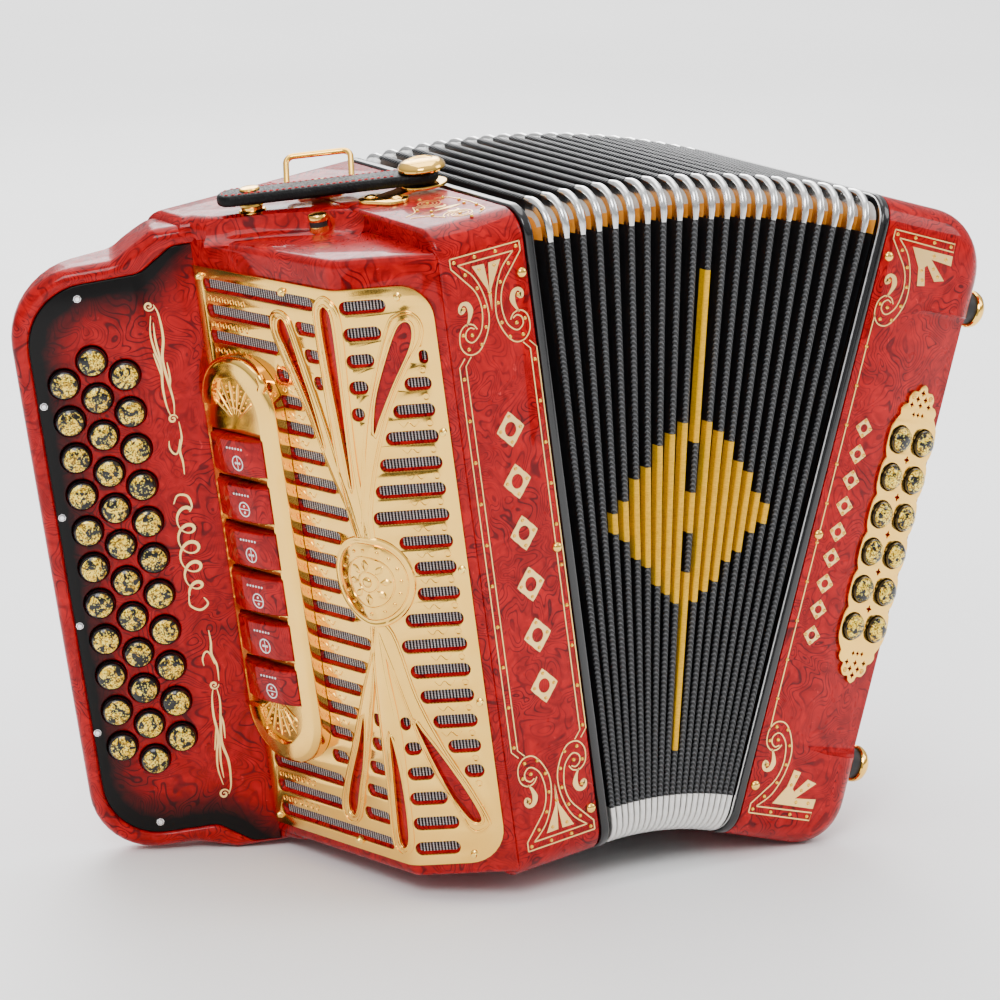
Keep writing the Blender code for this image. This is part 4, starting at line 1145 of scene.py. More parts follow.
def fingerboard():
    holes = []
    for distance, lowest, count in BUTTON_ROWS.values():
        holes += [circle((-distance, lowest + BUTTON_PITCH * n), 7.8, 28) for n in range(count)]
    mesh = slab([plate_outline(0.0, 10), *holes], -3.3, -1.0, bevel=0.35, steps=2)
    add("fingerboard_face", mesh, BURST, "treble", TREBLE @ ARM, ["fingerboard_plate"])

    crown = [(0, 2.7), (6.05, 2.7), (6.0, 3.22), (5.3, 3.65), (4.2, 4.1), (2.2, 4.5), (0, 4.6)]
    for row, (distance, lowest, count) in BUTTON_ROWS.items():
        name = f"treble_buttons_{row}_row"
        places = [at(ARM, -distance, lowest + BUTTON_PITCH * n) for n in range(count)]
        base = [
            (0, -4.1), (7.1, -4.1), (7.2, 1.0), (7.05, 1.8), (6.7, 2.5), (6.3, 3.0), (5.95, 3.2), (0, 3.2)
        ]
        rail = box((-2.0, -4.0, -5.4), (2.0, BUTTON_PITCH * (count - 1) + 4.0, -3.9), places[0])
        collars = joined([rail] + [turned(base, place, 28) for place in places])
        add(f"button_bodies_{row}_row", collars, BLACK, f"treble_{row}_row", TREBLE, [name])
        domes = joined([turned(crown, place, 28) for place in places])
        add(
            f"button_domes_{row}_row", domes, GLITTER, f"treble_{row}_row", TREBLE, sharp=50.0
        )

    screws = []
    for spot in ((57.6, 288.8), (81.2, 239), (81.2, 183), (81.2, 127.6), (81.1, 72), (57.8, 21)):
        head = [(0, -0.4), (1.9, -0.4), (1.9, 0.35), (1.5, 0.5), (1.1, 1.0), (0, 1.15)]
        screws.append(turned(head, at(ARM, -spot[0], spot[1], -1.0), 8))
    add("fingerboard_screws", joined(screws), CRYSTAL, "treble", TREBLE, sharp=15.0)


def spiral(centre, start, radius, turns, shrink=0.25, sense=1, steps=16):
    """Points of a scroll that winds inwards from a start angle in degrees."""
    count = max(4, int(steps * turns))
    points = []
    for step in range(count + 1):
        share = step / count
        angle = math.radians(start) + sense * 2 * math.pi * turns * share
        reach = radius * (1 - (1 - shrink) * share)
        points.append((centre[0] + reach * math.cos(angle), centre[1] + reach * math.sin(angle)))
    return points


def comma(centre, angle, size):
    """A filled curl that swells and tapers, as (points, widths)."""
    points = []
    widths = []
    steps = 10
    for step in range(steps + 1):
        share = step / steps
        turn = math.radians(angle) + 3.6 * share
        reach = size * (0.35 + 0.65 * share)
        points.append((centre[0] + reach * math.cos(turn), centre[1] + reach * math.sin(turn)))
        widths.append(size * 0.75 * math.sin(math.pi * min(1.0, 0.35 + share * 0.68)) + 0.1)
    return points, widths


def tapered(points, widest, least=0.25):
    count = len(points) - 1
    shares = [index / count for index in range(count + 1)]
    return points, [least + (widest - least) * math.sin(math.pi * share) for share in shares]


def arm_scrolls():
    """Slender leafy scrolls above and below a looped flourish."""
    lines = []
    for flip, (low, high) in ((1, (27, 115)), (-1, (195, 283))):
        def place(share, across):
            level = low + (high - low) * share if flip == 1 else high - (high - low) * share
            return (-(23.2 + across), level)

        main = [
            (0.03, -0.6), (0.09, -2.4), (0.22, -2.9), (0.34, -1.0), (0.46, -2.0), (0.58, -3.2), (0.66, -2.6)
        ]
        stems = (
            (main, 1.3),
            ([(0.09, 1.4), (0.19, 2.8), (0.29, 1.9), (0.38, 0.2), (0.5, 0.9), (0.6, 0.4), (0.66, -0.8)], 1.2),
            ([(0.13, 0.6), (0.22, 0.9), (0.31, 0.2), (0.4, -0.9)], 1.0),
            ([(0.36, -2.9), (0.45, -3.2), (0.52, -2.2)], 0.9),
            ([(0.3, 2.9), (0.37, 1.6), (0.44, 0.6)], 0.8),
            ([(0.7, -4.2), (0.79, -4.4), (0.86, -2.6), (0.93, -3.2), (1.0, -3.0)], 1.1),
            ([(0.8, 1.8), (0.84, 2.0), (0.875, 0.4), (0.87, -1.6), (0.8, -3.4)], 0.9),
        )
        for points, widest in stems:
            lines.append(tapered(smooth_path([place(*p) for p in points], 8), widest, 0.3))
        for share, across, radius, sense in ((0.035, 1.6, 2.6, 1), (0.68, -1.6, 2.3, -1)):
            curl = spiral(place(share, across), 0, radius, 1.4, 0.15, sense * flip, 20)
            lines.append(tapered(curl, 1.0, 0.4))
    coil = []
    widths = []
    for step in range(100):
        turn = 2 * math.pi * 4.5 * step / 99
        size = 1.0 - 0.35 * abs(2 * step / 99 - 1)
        height = 177.0 - 43.0 * step / 99
        coil.append((-23.5 + 5.0 * size * math.cos(turn), height + 5.2 * size * math.sin(turn)))
        widths.append(1.15 + 0.55 * math.sin(turn + 0.6))
    lines.append((coil, widths))
    for hook in (
        [(-27.5, 181), (-25.0, 185), (-20.5, 184), (-19.0, 179), (-20.5, 176)],
        [(-27.0, 134), (-27.0, 129), (-22.5, 126.0), (-18.5, 128.5), (-20.0, 132)],
    ):
        lines.append(tapered(smooth_path(hook, 8), 1.1, 0.4))
    strokes = [stroke(points, widths, -0.86, -1.3) for points, widths in lines]
    add("arm_gold_scrolls", joined(strokes), INLAY, "treble", TREBLE @ ARM)


def registers():
    outline = rounded(rectangle((0.5, 52.0), (56.0, 257.0), 26.0), 10)
    housing = layered(outline, round_over(1.8, 10.0, 3.2, 6))
    floor = [(-5, 78), (-5, 231), (10, 231), (14, 244, 6), (30, 248, 12), (44.5, 236, 14)]
    floor = rounded(floor + [(44.5, 73, 14), (30, 61, 12), (14, 65, 6), (10, 78)], 6)
    cuts = [layered(floor, [(7.4, 0.0), (10.4, -0.8), (12.0, -0.8)])]
    windows = []
    for index in range(6):
        middle = SWITCH_FIRST - SWITCH_PITCH * index
        half = SWITCH_HEIGHT / 2 + 0.4
        window = rectangle((3.8, middle - half), (46.2, middle + half), 1.0)
        windows.append(slab([rounded(window, 2)], 0.0, 14.0))
    housing = moved(carve(housing, cuts + [joined(windows)]), GRILLE_SIDE)
    gilt("register_housing_body", housing, "treble", ["register_housing"], 40.0)

    relief = []
    for sign, root in ((1, (24.0, 224.0)), (-1, (24.0, 85.0))):
        for angle in (38, 56, 74, 92, 110, 128, 146):
            ray = math.radians(angle)
            reach = 20.5 if 50 < angle < 130 else 17.5
            points = []
            for d in (4, 8, 12, 16, reach):
                points.append((root[0] + d * math.cos(ray), root[1] + sign * d * math.sin(ray), 7.4))
            relief.append(tube(points, [0.25, 0.5, 0.75, 0.9, 0.4], 6))
            for d in (7, 11, 15, 18):
                between = math.radians(angle + 9)
                spot = (root[0] + d * math.cos(between), root[1] + sign * d * math.sin(between))
                if angle < 140:
                    relief.append(dome(at(PLAN, *spot, 7.4), 0.65, 0.6, -0.2, 3, 8))
    for index in range(5):
        middle = SWITCH_FIRST - SWITCH_PITCH * (index + 0.5)
        for k in range(5):
            relief.append(dome(at(PLAN, 14 + 5.4 * k, middle, 7.4), 0.6, 0.45, -0.2, 3, 8))
    gilt("register_relief", joined([moved(m, GRILLE_SIDE) for m in relief]), "treble", sharp=60.0)
    bar = [(50.6, 244), (52.3, 247.5), (50.6, 251)]
    knob = moved(tube([(x, y, 9.6) for x, y in smooth_path(bar, 4)], 2.2, 10), GRILLE_SIDE)
    gilt("register_bar_knob", knob, "treble", sharp=60.0)

    across = matrix((1, 0, 0), (0, 0, 1), (0, -1, 0), (0, 0, 0))
    corners = [
        (5, 4.4), (45, 4.4), (45, 10.5, 1.5), (36, 13.2, 5), (19, 14.4, 1.2), (7, 11.2, 1.5), (5, 9.0, 1.0)
    ]
    paddle = rounded(corners, 3)
    for index in range(6):
        middle = SWITCH_FIRST - SWITCH_PITCH * index
        body = f"switch_{index + 1}"
        half = PADDLE_HEIGHT / 2
        mesh = slab([paddle], -middle - half, -middle + half, GRILLE_SIDE @ across, 0.9, 3)
        replaced = [f"register_switch_{index + 1}"]
        add(f"register_paddle_{index + 1}", mesh, PEARL, body, TREBLE, replaced)
        slope = math.atan2(13.2 - 14.4, 17.0)
        along = (math.cos(slope), 0, math.sin(slope))
        upward = (-math.sin(slope), 0, math.cos(slope))
        top = matrix(along, (0, 1, 0), upward, (27.5, middle, 13.8))
        if index % 2:
            dots, bar = [(1.5, -1.0), (1.5, -4.2)], [(-1.9, -2.6), (4.9, -2.6)]
        else:
            dots, bar = [(0.2, -2.6), (2.8, -2.6), (1.5, -2.6)], [(1.5, 0.8), (1.5, -6.0)]
        ring = stroke(circle((1.5, -2.6), 3.5, 28), 0.55, 0.1, -0.3, closed=True)
        marks = [ring, stroke(bar, 0.36, 0.09, -0.3)]
        dots = [(spot, 0.62) for spot in dots] + [((-4.6 + 2.0 * k, 4.6), 0.55) for k in range(6)]
        marks += [slab([circle(spot, radius, 10)], -0.3, 0.1) for spot, radius in dots]
        mark = moved(joined(marks), GRILLE_SIDE @ top)
        add(f"register_symbol_{index + 1}", mark, WHITE, body, TREBLE)


# ---------------------------------------------------------------- strap, ring and top fittings


def strap_fittings():
    pivot, snap = Vector(STRAP_PIVOT), Vector(STRAP_SNAP)
    along = (snap - pivot).normalized()
    across = Vector((-along.y, along.x))
    place = matrix((along.x, along.y, 0), (across.x, across.y, 0), UP, (pivot.x, pivot.y, 0))
    half = STRAP_WIDTH / 2
    reach = (snap - pivot).length
    outline = rounded(rectangle((-half + 1, -half), (reach + 16, half), 8.0), 9)
    top = STRAP_LOW + STRAP_THICKNESS
    layers = round_over(STRAP_LOW, top, 2.0, 4, both=True)
    strap = layered(outline, layers + [(top + 0.25, 4.0), (top + 0.35, 6.0)], place)
    hole = turned([(0, 300), (3.0, 300), (3.0, 340), (0, 340)], at(place, 0, 0), 16)
    add(
        "leather_bellows_strap", carve(strap, [hole]), LEATHER, "strap", TREBLE,
        ["bellows_strap"], 45.0,
    )
    path = inset(anticlockwise(outline), 2.6)
    stitches = []
    travelled = 0.0
    for a, b in zip(path, path[1:] + path[:1]):
        length = (b - a).length
        steps = max(1, int(length / 0.5))
        for step in range(steps):
            travelled += length / steps
            if travelled < 2.9:
                continue
            travelled = 0.0
            spot = a + (b - a) * (step / steps)
            if spot.x < 12.0:
                continue
            heading = (b - a).normalized() * 0.95
            ends = [(spot - heading), spot, (spot + heading)]
            points = [(p.x, p.y, top + h) for p, h in zip(ends, (-0.05, 0.28, -0.05))]
            stitches.append(tube(points, 0.3, 5, placement=place))
    add("strap_stitches", joined(stitches), STITCH, "strap", TREBLE, sharp=60.0)
    cap = [
        (0, top + 0.2), (4.9, top + 0.2), (4.9, top + 0.9), (4.3, top + 1.5), (2.5, top + 1.9), (0, top + 2.0)
    ]
    add("strap_snap_cap", turned(cap, at(PLAN, *STRAP_SNAP), 28), GOLD, "strap", TREBLE)

    low = HEIGHT + 0.3
    foot = matrix((0.42, -0.91, 0), (0.91, 0.42, 0), UP, (-31.0, -13.5, 0))
    flange = rounded(rectangle((-13, -7), (13, 7), 6.8), 8)
    pieces = [layered(flange, round_over(low, low + 1.6, 0.5, 2), foot)]
    for x in (-7.5, 7.5):
        pieces.append(dome(at(foot, x, 0, low + 1.6), 3.0, 1.2, -0.2, 4, 16))
    tongue = [(-33, -19, -7, low + 0.4), (-24, -18, -6.5, low + 0.7)]
    tongue += [(-17, -17.5, -6, low + 1.2), (-8, -17, -6, STRAP_LOW - 1.8)]
    bm = bmesh.new()
    rows = []
    for x, y_low, y_high, z in tongue:
        corners = [(x, y_low, z), (x, y_high, z), (x, y_high, z + 1.3), (x, y_low, z + 1.3)]
        rows.append([bm.verts.new(Vector(corner) * MM) for corner in corners])
    skin(bm, rows)
    pieces.append(mesh_from(bm))
    post = [(0, STRAP_LOW - 1.8), (11.0, STRAP_LOW - 1.8), (11.2, STRAP_LOW - 1.1), (11.0, STRAP_LOW - 0.4)]
    post += [
        (2.6, STRAP_LOW - 0.4), (2.6, top + 0.4), (10.6, top + 0.4), (11.3, top + 1.0), (11.4, top + 2.0),
        (10.8, top + 3.4), (9.4, top + 4.6), (7.4, top + 5.4),
    ]
    post += [(5.8, top + 5.7), (5.2, top + 5.3), (4.6, top + 5.2), (3.6, top + 5.5), (0, top + 5.7)]
    pieces.append(turned(post, at(PLAN, *STRAP_PIVOT), 40))
    gilt("strap_bracket_gold", joined(pieces), "treble", ["strap_bracket"])

    base = 318.3
    stud = [
        (0, 0), (6.6, 0), (6.7, 1.4), (6.0, 2.2), (5.2, 2.4), (5.2, 3.6), (5.8, 4.2), (5.6, 5.2), (0, 5.2)
    ]
    stud = [(radius, base + height) for radius, height in stud]
    gilt("strap_stud_gold", turned(stud, at(PLAN, *STRAP_SNAP), 28), "treble", ["strap_stud"])

    low = COVER_HIGH + 0.3
    rubber = [(0, low + 2.6), (4.1, low + 2.6), (4.3, low + 5.4), (0, low + 5.4)]
    add(
        "cover_stop_rubber", turned(rubber, at(PLAN, *COVER_STOP), 24), RUBBER, "treble", TREBLE,
        ["cover_stop"],
    )
    foot = [(0, low), (4.6, low), (4.7, low + 0.5), (4.5, low + 2.7), (0, low + 2.7)]
    knob = [(0, 5.3), (4.6, 5.3), (4.7, 5.8), (4.7, 7.6), (4.3, 8.3), (2.6, 8.6), (0, 8.7)]
    knob = [(radius, low + height) for radius, height in knob]
    metal = joined([turned(profile, at(PLAN, *COVER_STOP), 28) for profile in (foot, knob)])
    gilt("cover_stop_cap", metal, "treble")

    left, right = Vector(RING_ENDS[0]), Vector(RING_ENDS[1])
    direction = (right - left).normalized()
    width = (right - left).length
    back = Vector((-direction.y, direction.x))
    lean = math.radians(48.0)
    axis = Vector((direction.x, direction.y, 0))
    rise = Vector((back.x * math.sin(lean), back.y * math.sin(lean), math.cos(lean)))
    plane = matrix(axis, rise, axis.cross(rise), (left.x, left.y, 324.0))
    outline = rounded(rectangle((0, 0), (width, 19.0), 3.8), 6)
    wire = tube([(p.x, p.y, 0.0) for p in outline], 1.5, 12, closed=True, placement=plane)
    add("strap_ring", wire, GOLD, "ring", TREBLE, ["shoulder_ring"], 60.0)
    upright = matrix(axis, (back.x, back.y, 0), UP, (left.x, left.y, 0))
    base = HEIGHT + 0.3
    middle = width / 2
    lug = rounded(rectangle((middle - 5, -4.0), (middle + 5, 4.0), 1.5), 4)
    lug = layered(lug, round_over(base, 327.4, 1.6, 4), upright)
    tunnel = matrix((0, 0, -1), (0, 1, 0), (1, 0, 0), (0, 0, 324.0))
    bore = turned([(0, 2), (1.9, 2), (1.9, width - 2), (0, width - 2)], upright @ tunnel, 16)
    flange = rounded(rectangle((middle - 11, -3.6), (middle + 11, 3.6), 3.4), 6)
    flange = layered(flange, round_over(base, base + 1.1, 0.4, 2), upright)
    gilt("ring_lug_gold", joined([carve(lug, [bore]), flange]), "treble", ["ring_lug"])


# ---------------------------------------------------------------- inlays


def motif(centre, level, flip, both):
    """A trumpet frame: a bar over legs that curl outwards into scrolls, with commas, a fan and stones.

    flip -1 turns it upside down.  With one leg, the fan opens out to the right instead.
    """
    lines, curls, stones, plates = [], [], [], []
    half = 18.6

    def spots(points, side=-1):
        return [(centre + side * x, level - flip * y) for x, y in points]

    outer = [
        (half, 4.6), (13.4, 10.6), (7.4, 18.2), (5.2, 26.6), (6.4, 35.2), (9.4, 39.6), (12.6, 41.0),
        (15.3, 38.8),
    ]
    outer += [(15.0, 35.6), (12.6, 34.0), (10.4, 35.0)]
    inner = [
        (14.8, 3.8), (7.6, 10.6), (3.2, 20.8), (2.0, 31.6), (4.8, 40.2), (9.6, 46.0), (15.2, 46.2),
        (18.6, 41.8),
    ]
    inner += [(18.2, 35.4), (14.8, 32.2), (11.0, 32.8), (9.0, 35.4)]
    for side in (-1, 1) if both else (-1,):
        lines += [(smooth_path(spots(path, side), 5), 0.62) for path in (outer, inner)]
        lines.append((spots([(half, 0.0), (half, 4.6)], side), 0.62))
        curls.append(swirl(spots([(14.6, 24.6)], side)[0], side, flip))
        rivets = [
            (half - 2.0, 2.0), (11.6, 9.0), (6.2, 16.6), (3.6, 26.0), (4.2, 35.6), (7.6, 43.2), (14.6, 43.8)
        ]
        rivets += [(16.6, 36.6), (12.0, 37.6), (14.6, 24.6)]
        stones += spots(rivets, side)
    if both:
        lines.append((spots([(-half, 0.0), (half, 0.0)]), 0.62))
        lines.append((spots([(-14.8, 3.8), (14.8, 3.8)]), 0.62))
        stones += spots([(-5.6, 1.8), (5.6, 1.8)])
        for side in (-1, 1):
            plates.append(spots([(1.2, 6.2), (7.6, 6.0), (1.0, 18.6), (0.15, 29.0), (0.1, 18.0)], side))
            stones += spots([(4.0, 8.2)], side)
        stones += spots([(0.0, 20.6)])
    else:
        lines.append((spots([(half, 0.0), (-half, 0.4), (-half - 0.4, 4.4), (14.8, 3.6)]), 0.62))
        stones += spots([(5.6, 1.8), (-6.2, 2.0), (-half + 2.0, 2.2)])
        fan = [
            (5.9, 6.2), (-19.0, 6.4), (-19.4, 11.2), (-6.8, 10.2), (-17.4, 19.0), (-11.8, 20.4), (-5.4, 13.4)
        ]
        fan += [(-4.0, 14.6), (-6.6, 23.4), (-2.2, 24.2), (-0.4, 15.4)]
        plates.append(spots(fan))
        stones += spots([(-8.0, 8.4), (-15.4, 8.8), (-9.4, 14.6), (-13.0, 17.8), (-2.6, 16.6), (-4.4, 21.0)])
    return lines, curls, stones, plates


def swirl(head, side, flip):
    """A comma: a round head and a tail that thins as it falls back under it."""
    points = [
        (0.0, 0.2), (1.5, -1.0), (1.9, 0.9), (0.4, 2.6), (-2.2, 1.7), (-3.3, -1.4), (-2.2, -5.2), (-0.4, -8.2)
    ]
    widths = [2.6, 2.6, 2.0, 1.5, 2.4, 2.9, 1.5, 0.3]
    path = smooth_path([(head[0] + side * x, head[1] + flip * y) for x, y in points], 4)
    thickness = []
    for index in range(len(path)):
        knot, share = divmod(index, 4)
        after = widths[min(7, knot + 1)]
        thickness.append(widths[knot] + (after - widths[knot]) * share / 4)
    return path, thickness


def badge(centre, level, width, height):
    """A bold pierced lozenge with notched sides, and its four stones."""
    outer, inner = [], []
    for step, angle in enumerate(turn_angles(16)):
        reach = (1.0, 0.8, 0.72, 0.8)[step % 4]
        outer.append((centre + width * reach * math.cos(angle), level + height * reach * math.sin(angle)))
        inner.append((centre + width * 0.42 * math.cos(angle), level + height * 0.42 * math.sin(angle)))
    directions = ((1, 0), (0, 1), (-1, 0), (0, -1))
    stones = [(centre + x * width * 0.72, level + y * height * 0.72) for x, y in directions]
    return slab([outer, inner], INLAY_LOW, INLAY_HIGH), stones


def stone_meshes(spots):
    radius = 0.95
    stone = [(0, -0.1), (radius, -0.1), (radius, 0.35), (radius * 0.6, 0.85), (0, 0.95)]
    return [turned(stone, at(PLAN, *spot), 8) for spot in spots]


def lay_inlay(name, lines, curls, stones, extra, placement, body):
    strokes = [stroke(points, width) for points, width in lines + curls] + extra
    add(f"{name}_lines", moved(joined(strokes), placement), INLAY, body, HOMES[body])
    studs = moved(joined(stone_meshes(stones)), placement)
    add(f"{name}_stones", studs, AMBER, body, HOMES[body], sharp=15.0)


def motif_pair(middle, both=True):
    """The motifs at the top and bottom of a front, as lines, curls, stones and plates."""
    lines, curls, stones, plates = [], [], [], []
    for level, flip in ((306.0, 1), (14.0, -1)):
        made = motif(middle, level, flip, both=both)
        for kept, found in zip((lines, curls, stones), made):
            kept.extend(found)
        plates += [slab([plate], INLAY_LOW, INLAY_HIGH) for plate in made[3]]
    return lines, curls, stones, plates


def badge_column(middle, first, pitch, count, width, height):
    plates, stones = [], []
    for k in range(count):
        plate, found = badge(middle, first - pitch * k, width, height)
        plates.append(plate)
        stones += found
    return plates, stones


def inlays():
    lines, curls, stones, extra = motif_pair(-22.0)
    for side in (-1, 1):
        for shift in (0.0, 3.4):
            x = -22.0 + side * (20.8 - shift)
            bend = -22.0 + side * (17.4 - shift)
            lines.append(([(bend, 258.6), (x, 254.8), (x, 65.2), (bend, 61.4)], 0.55))
        stones += [(-22.0 + side * 19.1, 249.0 - 20.2 * k) for k in range(10)]
    badges, found = badge_column(-20.6, 219.5, 25.4, 6, 7.4, 8.6)
    lay_inlay("treble_inlay", lines, curls, stones + found, extra + badges, FRONT, "treble")

    lines, curls, stones, extra = motif_pair(22.6, both=False)
    lines.append(([(4.4, 264.0), (4.2, 250.0), (4.2, 70.0), (4.4, 56.0)], 0.6))
    stones += [(4.2, 248.0 - 19.6 * k) for k in range(10)]
    badges, found = badge_column(14.9, 209.0, 13.0, 9, 5.0, 5.0)
    lay_inlay("bass_inlay", lines, curls, stones + found, extra + badges, FRONT, "bass")

    flat = matrix((0, 1, 0), (-1, 0, 0), UP, (0, 0, HEIGHT))
    lines, curls, stones = [], [], []
    for side in (-1, 1):
        middle = (-52 + side * 15.0, 21)
        lines.append((spiral(middle, 90, 8.0, 1.5, 0.3, side), 0.5))
        lines.append((spiral(middle, 90, 6.0, 1.2, 0.3, side), 0.4))
        arc = smooth_path([(-52 + side * 15, 29), (-52 + side * 6, 33), (-52 + side * 2, 40)], 6)
        lines.append((arc, 0.5))
        curls.append(comma((-52 + side * 6, 20), 90, 3.4))
        low = smooth_path([(-52 + side * 21, 14), (-52 + side * 16, 8.5), (-52, 6.5)], 6)
        lines.append((low, 0.5))
        stones += [
            middle, (-52 + side * 7, 31), (-52 + side * 18, 11), (-52 + side * 8, 8), (-52 + side * 24, 20)
        ]
    curls.append(([(-52, 12), (-52, 18), (-52, 26)], [0.4, 3.2, 0.4]))
    stones += [(-52, 27.5), (-52, 10)]
    lay_inlay("top_inlay", lines, curls, stones, [], flat, "treble")

    for body, across, levels in (("treble", -4.0, (25, 157, 291)), ("bass", 4.0, (27.7, 154, 292.6))):
        pins = []
        for level in levels:
            for place in (at(FRONT, across, level), at(BACK, -across, level)):
                pins.append(dome(place, 2.6, 1.9, -0.3, sides=18))
        gilt(f"{body}_bellows_pins", joined(pins), body, sharp=50.0)


# ---------------------------------------------------------------- bellows

FOLD_DEPTH = 16.0
CAP_DEPTH = 4.0
BEAD = 1.4
CORNER_REACH = 17.0
GOLD_SPANS = {0: ((45, 129), (150.5, 171.5), (194, 276))}
for fold_step in range(1, 8):
    GOLD_SPANS[fold_step] = ((107.5 + 6.8 * fold_step, 213.2 - 7.1 * fold_step),)


def ring_path(margin, radius):
    """Points round a fold, each as (y, z, outward y, outward z)."""
    side, low, high = HALF_DEPTH - margin, margin, HEIGHT - margin
    points = []
    levels = [low + radius + (high - low - 2 * radius) * k / 60 for k in range(61)]
    levels = sorted({*levels, low + CORNER_REACH + 4, high - CORNER_REACH - 4})
    depths = [-side + radius + (side - radius) * 2 * k / 30 for k in range(31)]
    points += [(-side, z, -1.0, 0.0) for z in reversed(levels)]
    points += corner_arc((-side + radius, low + radius), 180, radius)
    points += [(y, low, 0.0, -1.0) for y in depths]
    points += corner_arc((side - radius, low + radius), 270, radius)
    points += [(side, z, 1.0, 0.0) for z in levels]
    points += corner_arc((side - radius, high - radius), 0, radius)
    points += [(y, high, 0.0, 1.0) for y in reversed(depths)]
    points += corner_arc((-side + radius, high - radius), 90, radius)
    return points


def corner_arc(centre, start, radius):
    made = []
    steps = 7
    for step in range(1, steps):
        angle = math.radians(start + 90.0 * step / steps)
        out_y, out_z = math.cos(angle), math.sin(angle)
        made.append((centre[0] + radius * out_y, centre[1] + radius * out_z, out_y, out_z))
    return made


RING = ring_path(0.0, CORNER)


def kind_at(y, z):
    """top or bottom near a corner, otherwise plain."""
    near_side = abs(y) > HALF_DEPTH - CORNER_REACH
    if near_side and z > HEIGHT - CORNER_REACH:
        return "top"
    if near_side and z < CORNER_REACH + 3:
        return "bottom"
    return "plain"


def swept(profile_at, surfaces, surface_at):
    """A closed skin swept round the bellows, from the (x, inward) points of each place on the ring."""
    bm = bmesh.new()
    rows = []
    for y, z, out_y, out_z in RING:
        row = []
        for x, depth in profile_at(y, z):
            row.append(bm.verts.new((x * MM, (y - out_y * depth) * MM, (z - out_z * depth) * MM)))
        rows.append(row)
    count = len(RING)
    for index in range(count):
        after = (index + 1) % count
        middle_y = (RING[index][0] + RING[after][0]) / 2
        middle_z = (RING[index][1] + RING[after][1]) / 2
        first, second = rows[index], rows[after]
        for k in range(len(first)):
            j = (k + 1) % len(first)
            made = bm.faces.new((first[k], second[k], second[j], first[j]))
            made.material_index = surface_at(k, middle_y, middle_z)
    mesh = mesh_from(bm)
    for surface in surfaces:
        mesh.materials.append(surface)
    return mesh


def fold_spread(level):
    """Half the gap between neighbouring folds at a height, in the rest pose."""
    return FOLD_PITCH / 2 + level * math.tan(math.radians(FAN_ANGLE) / (FOLDS + 1) / 2)


def fold_cap(index):
    """The outer edge of a fold: a rope-like bead on a flat band, with metal corners and gold tape."""
    step = abs(index - FOLDS // 2)
    spans = GOLD_SPANS.get(step, ())
    arc = [math.pi * k / 6 for k in range(7)]

    def profile(y, z):
        lean = 0.12 * fold_spread(z)
        swell = (1.25 if kind_at(y, z) == "top" else 1.0) * (1.0 + 0.14 * min(1.0, z / 160.0))
        bead = [(BEAD * swell * math.cos(a), BEAD - BEAD * swell * math.sin(a)) for a in arc]
        band = [(-BEAD * 0.75, 2.4), (-BEAD * 0.7 - lean, CAP_DEPTH + 1.5), (-0.5 - lean, CAP_DEPTH + 1.8)]
        return [*bead, *band, *[(-x, depth) for x, depth in reversed(band)]]

    def surface_at(k, y, z):
        kind = kind_at(y, z)
        if kind == "top":
            return 2
        if kind == "bottom":
            return 3
        if y < -HALF_DEPTH + 1 and any(low < z < high for low, high in spans):
            return 4 if k < 6 else 5
        return 0 if k < 6 else 1

    surfaces = [TWILL, WALL_CLOTH, CHROME, PALE_METAL, TAPE, TAPE]
    mesh = swept(profile, surfaces, surface_at)
    number = f"{index + 1:02d}"
    replaced = [f"bellows_fold_{number}"]
    place = FOLD_FRAMES[index]
    add(f"fold_edge_{number}", mesh, None, f"fold_{number}", place, replaced, 50.0)


def membrane():
    """The folded wall between two planes, drawn in its middle plane's frame."""
    def profile(y, z):
        spread = fold_spread(z) - BEAD * 0.5
        outer, depth = CAP_DEPTH, FOLD_DEPTH
        slope = ((1.0, 0.0), (0.62, 0.38), (0.28, 0.78))
        left = [(-spread * across, outer + (depth - outer) * down) for across, down in slope]
        bottom = [(-0.35, depth), (0.0, depth + 0.1), (0.35, depth)]
        right = [(-x, d) for x, d in reversed(left)]
        outside = left + bottom + right
        inside = [(x + (0.25 if x > 0 else -0.25 if x < 0 else 0), d + 0.5) for x, d in reversed(outside)]
        return outside + inside

    def surface_at(k, y, z):
        kind = kind_at(y, z)
        if k > 7:
            return 1
        if kind == "top":
            return 2 if k == 7 and z > HEIGHT - 11 else 1
        return 0 if k in (0, 7) else 1 if k in (2, 3, 4, 5) else 0

    return swept(profile, [WALL_CLOTH, VALLEY, LINING], surface_at)


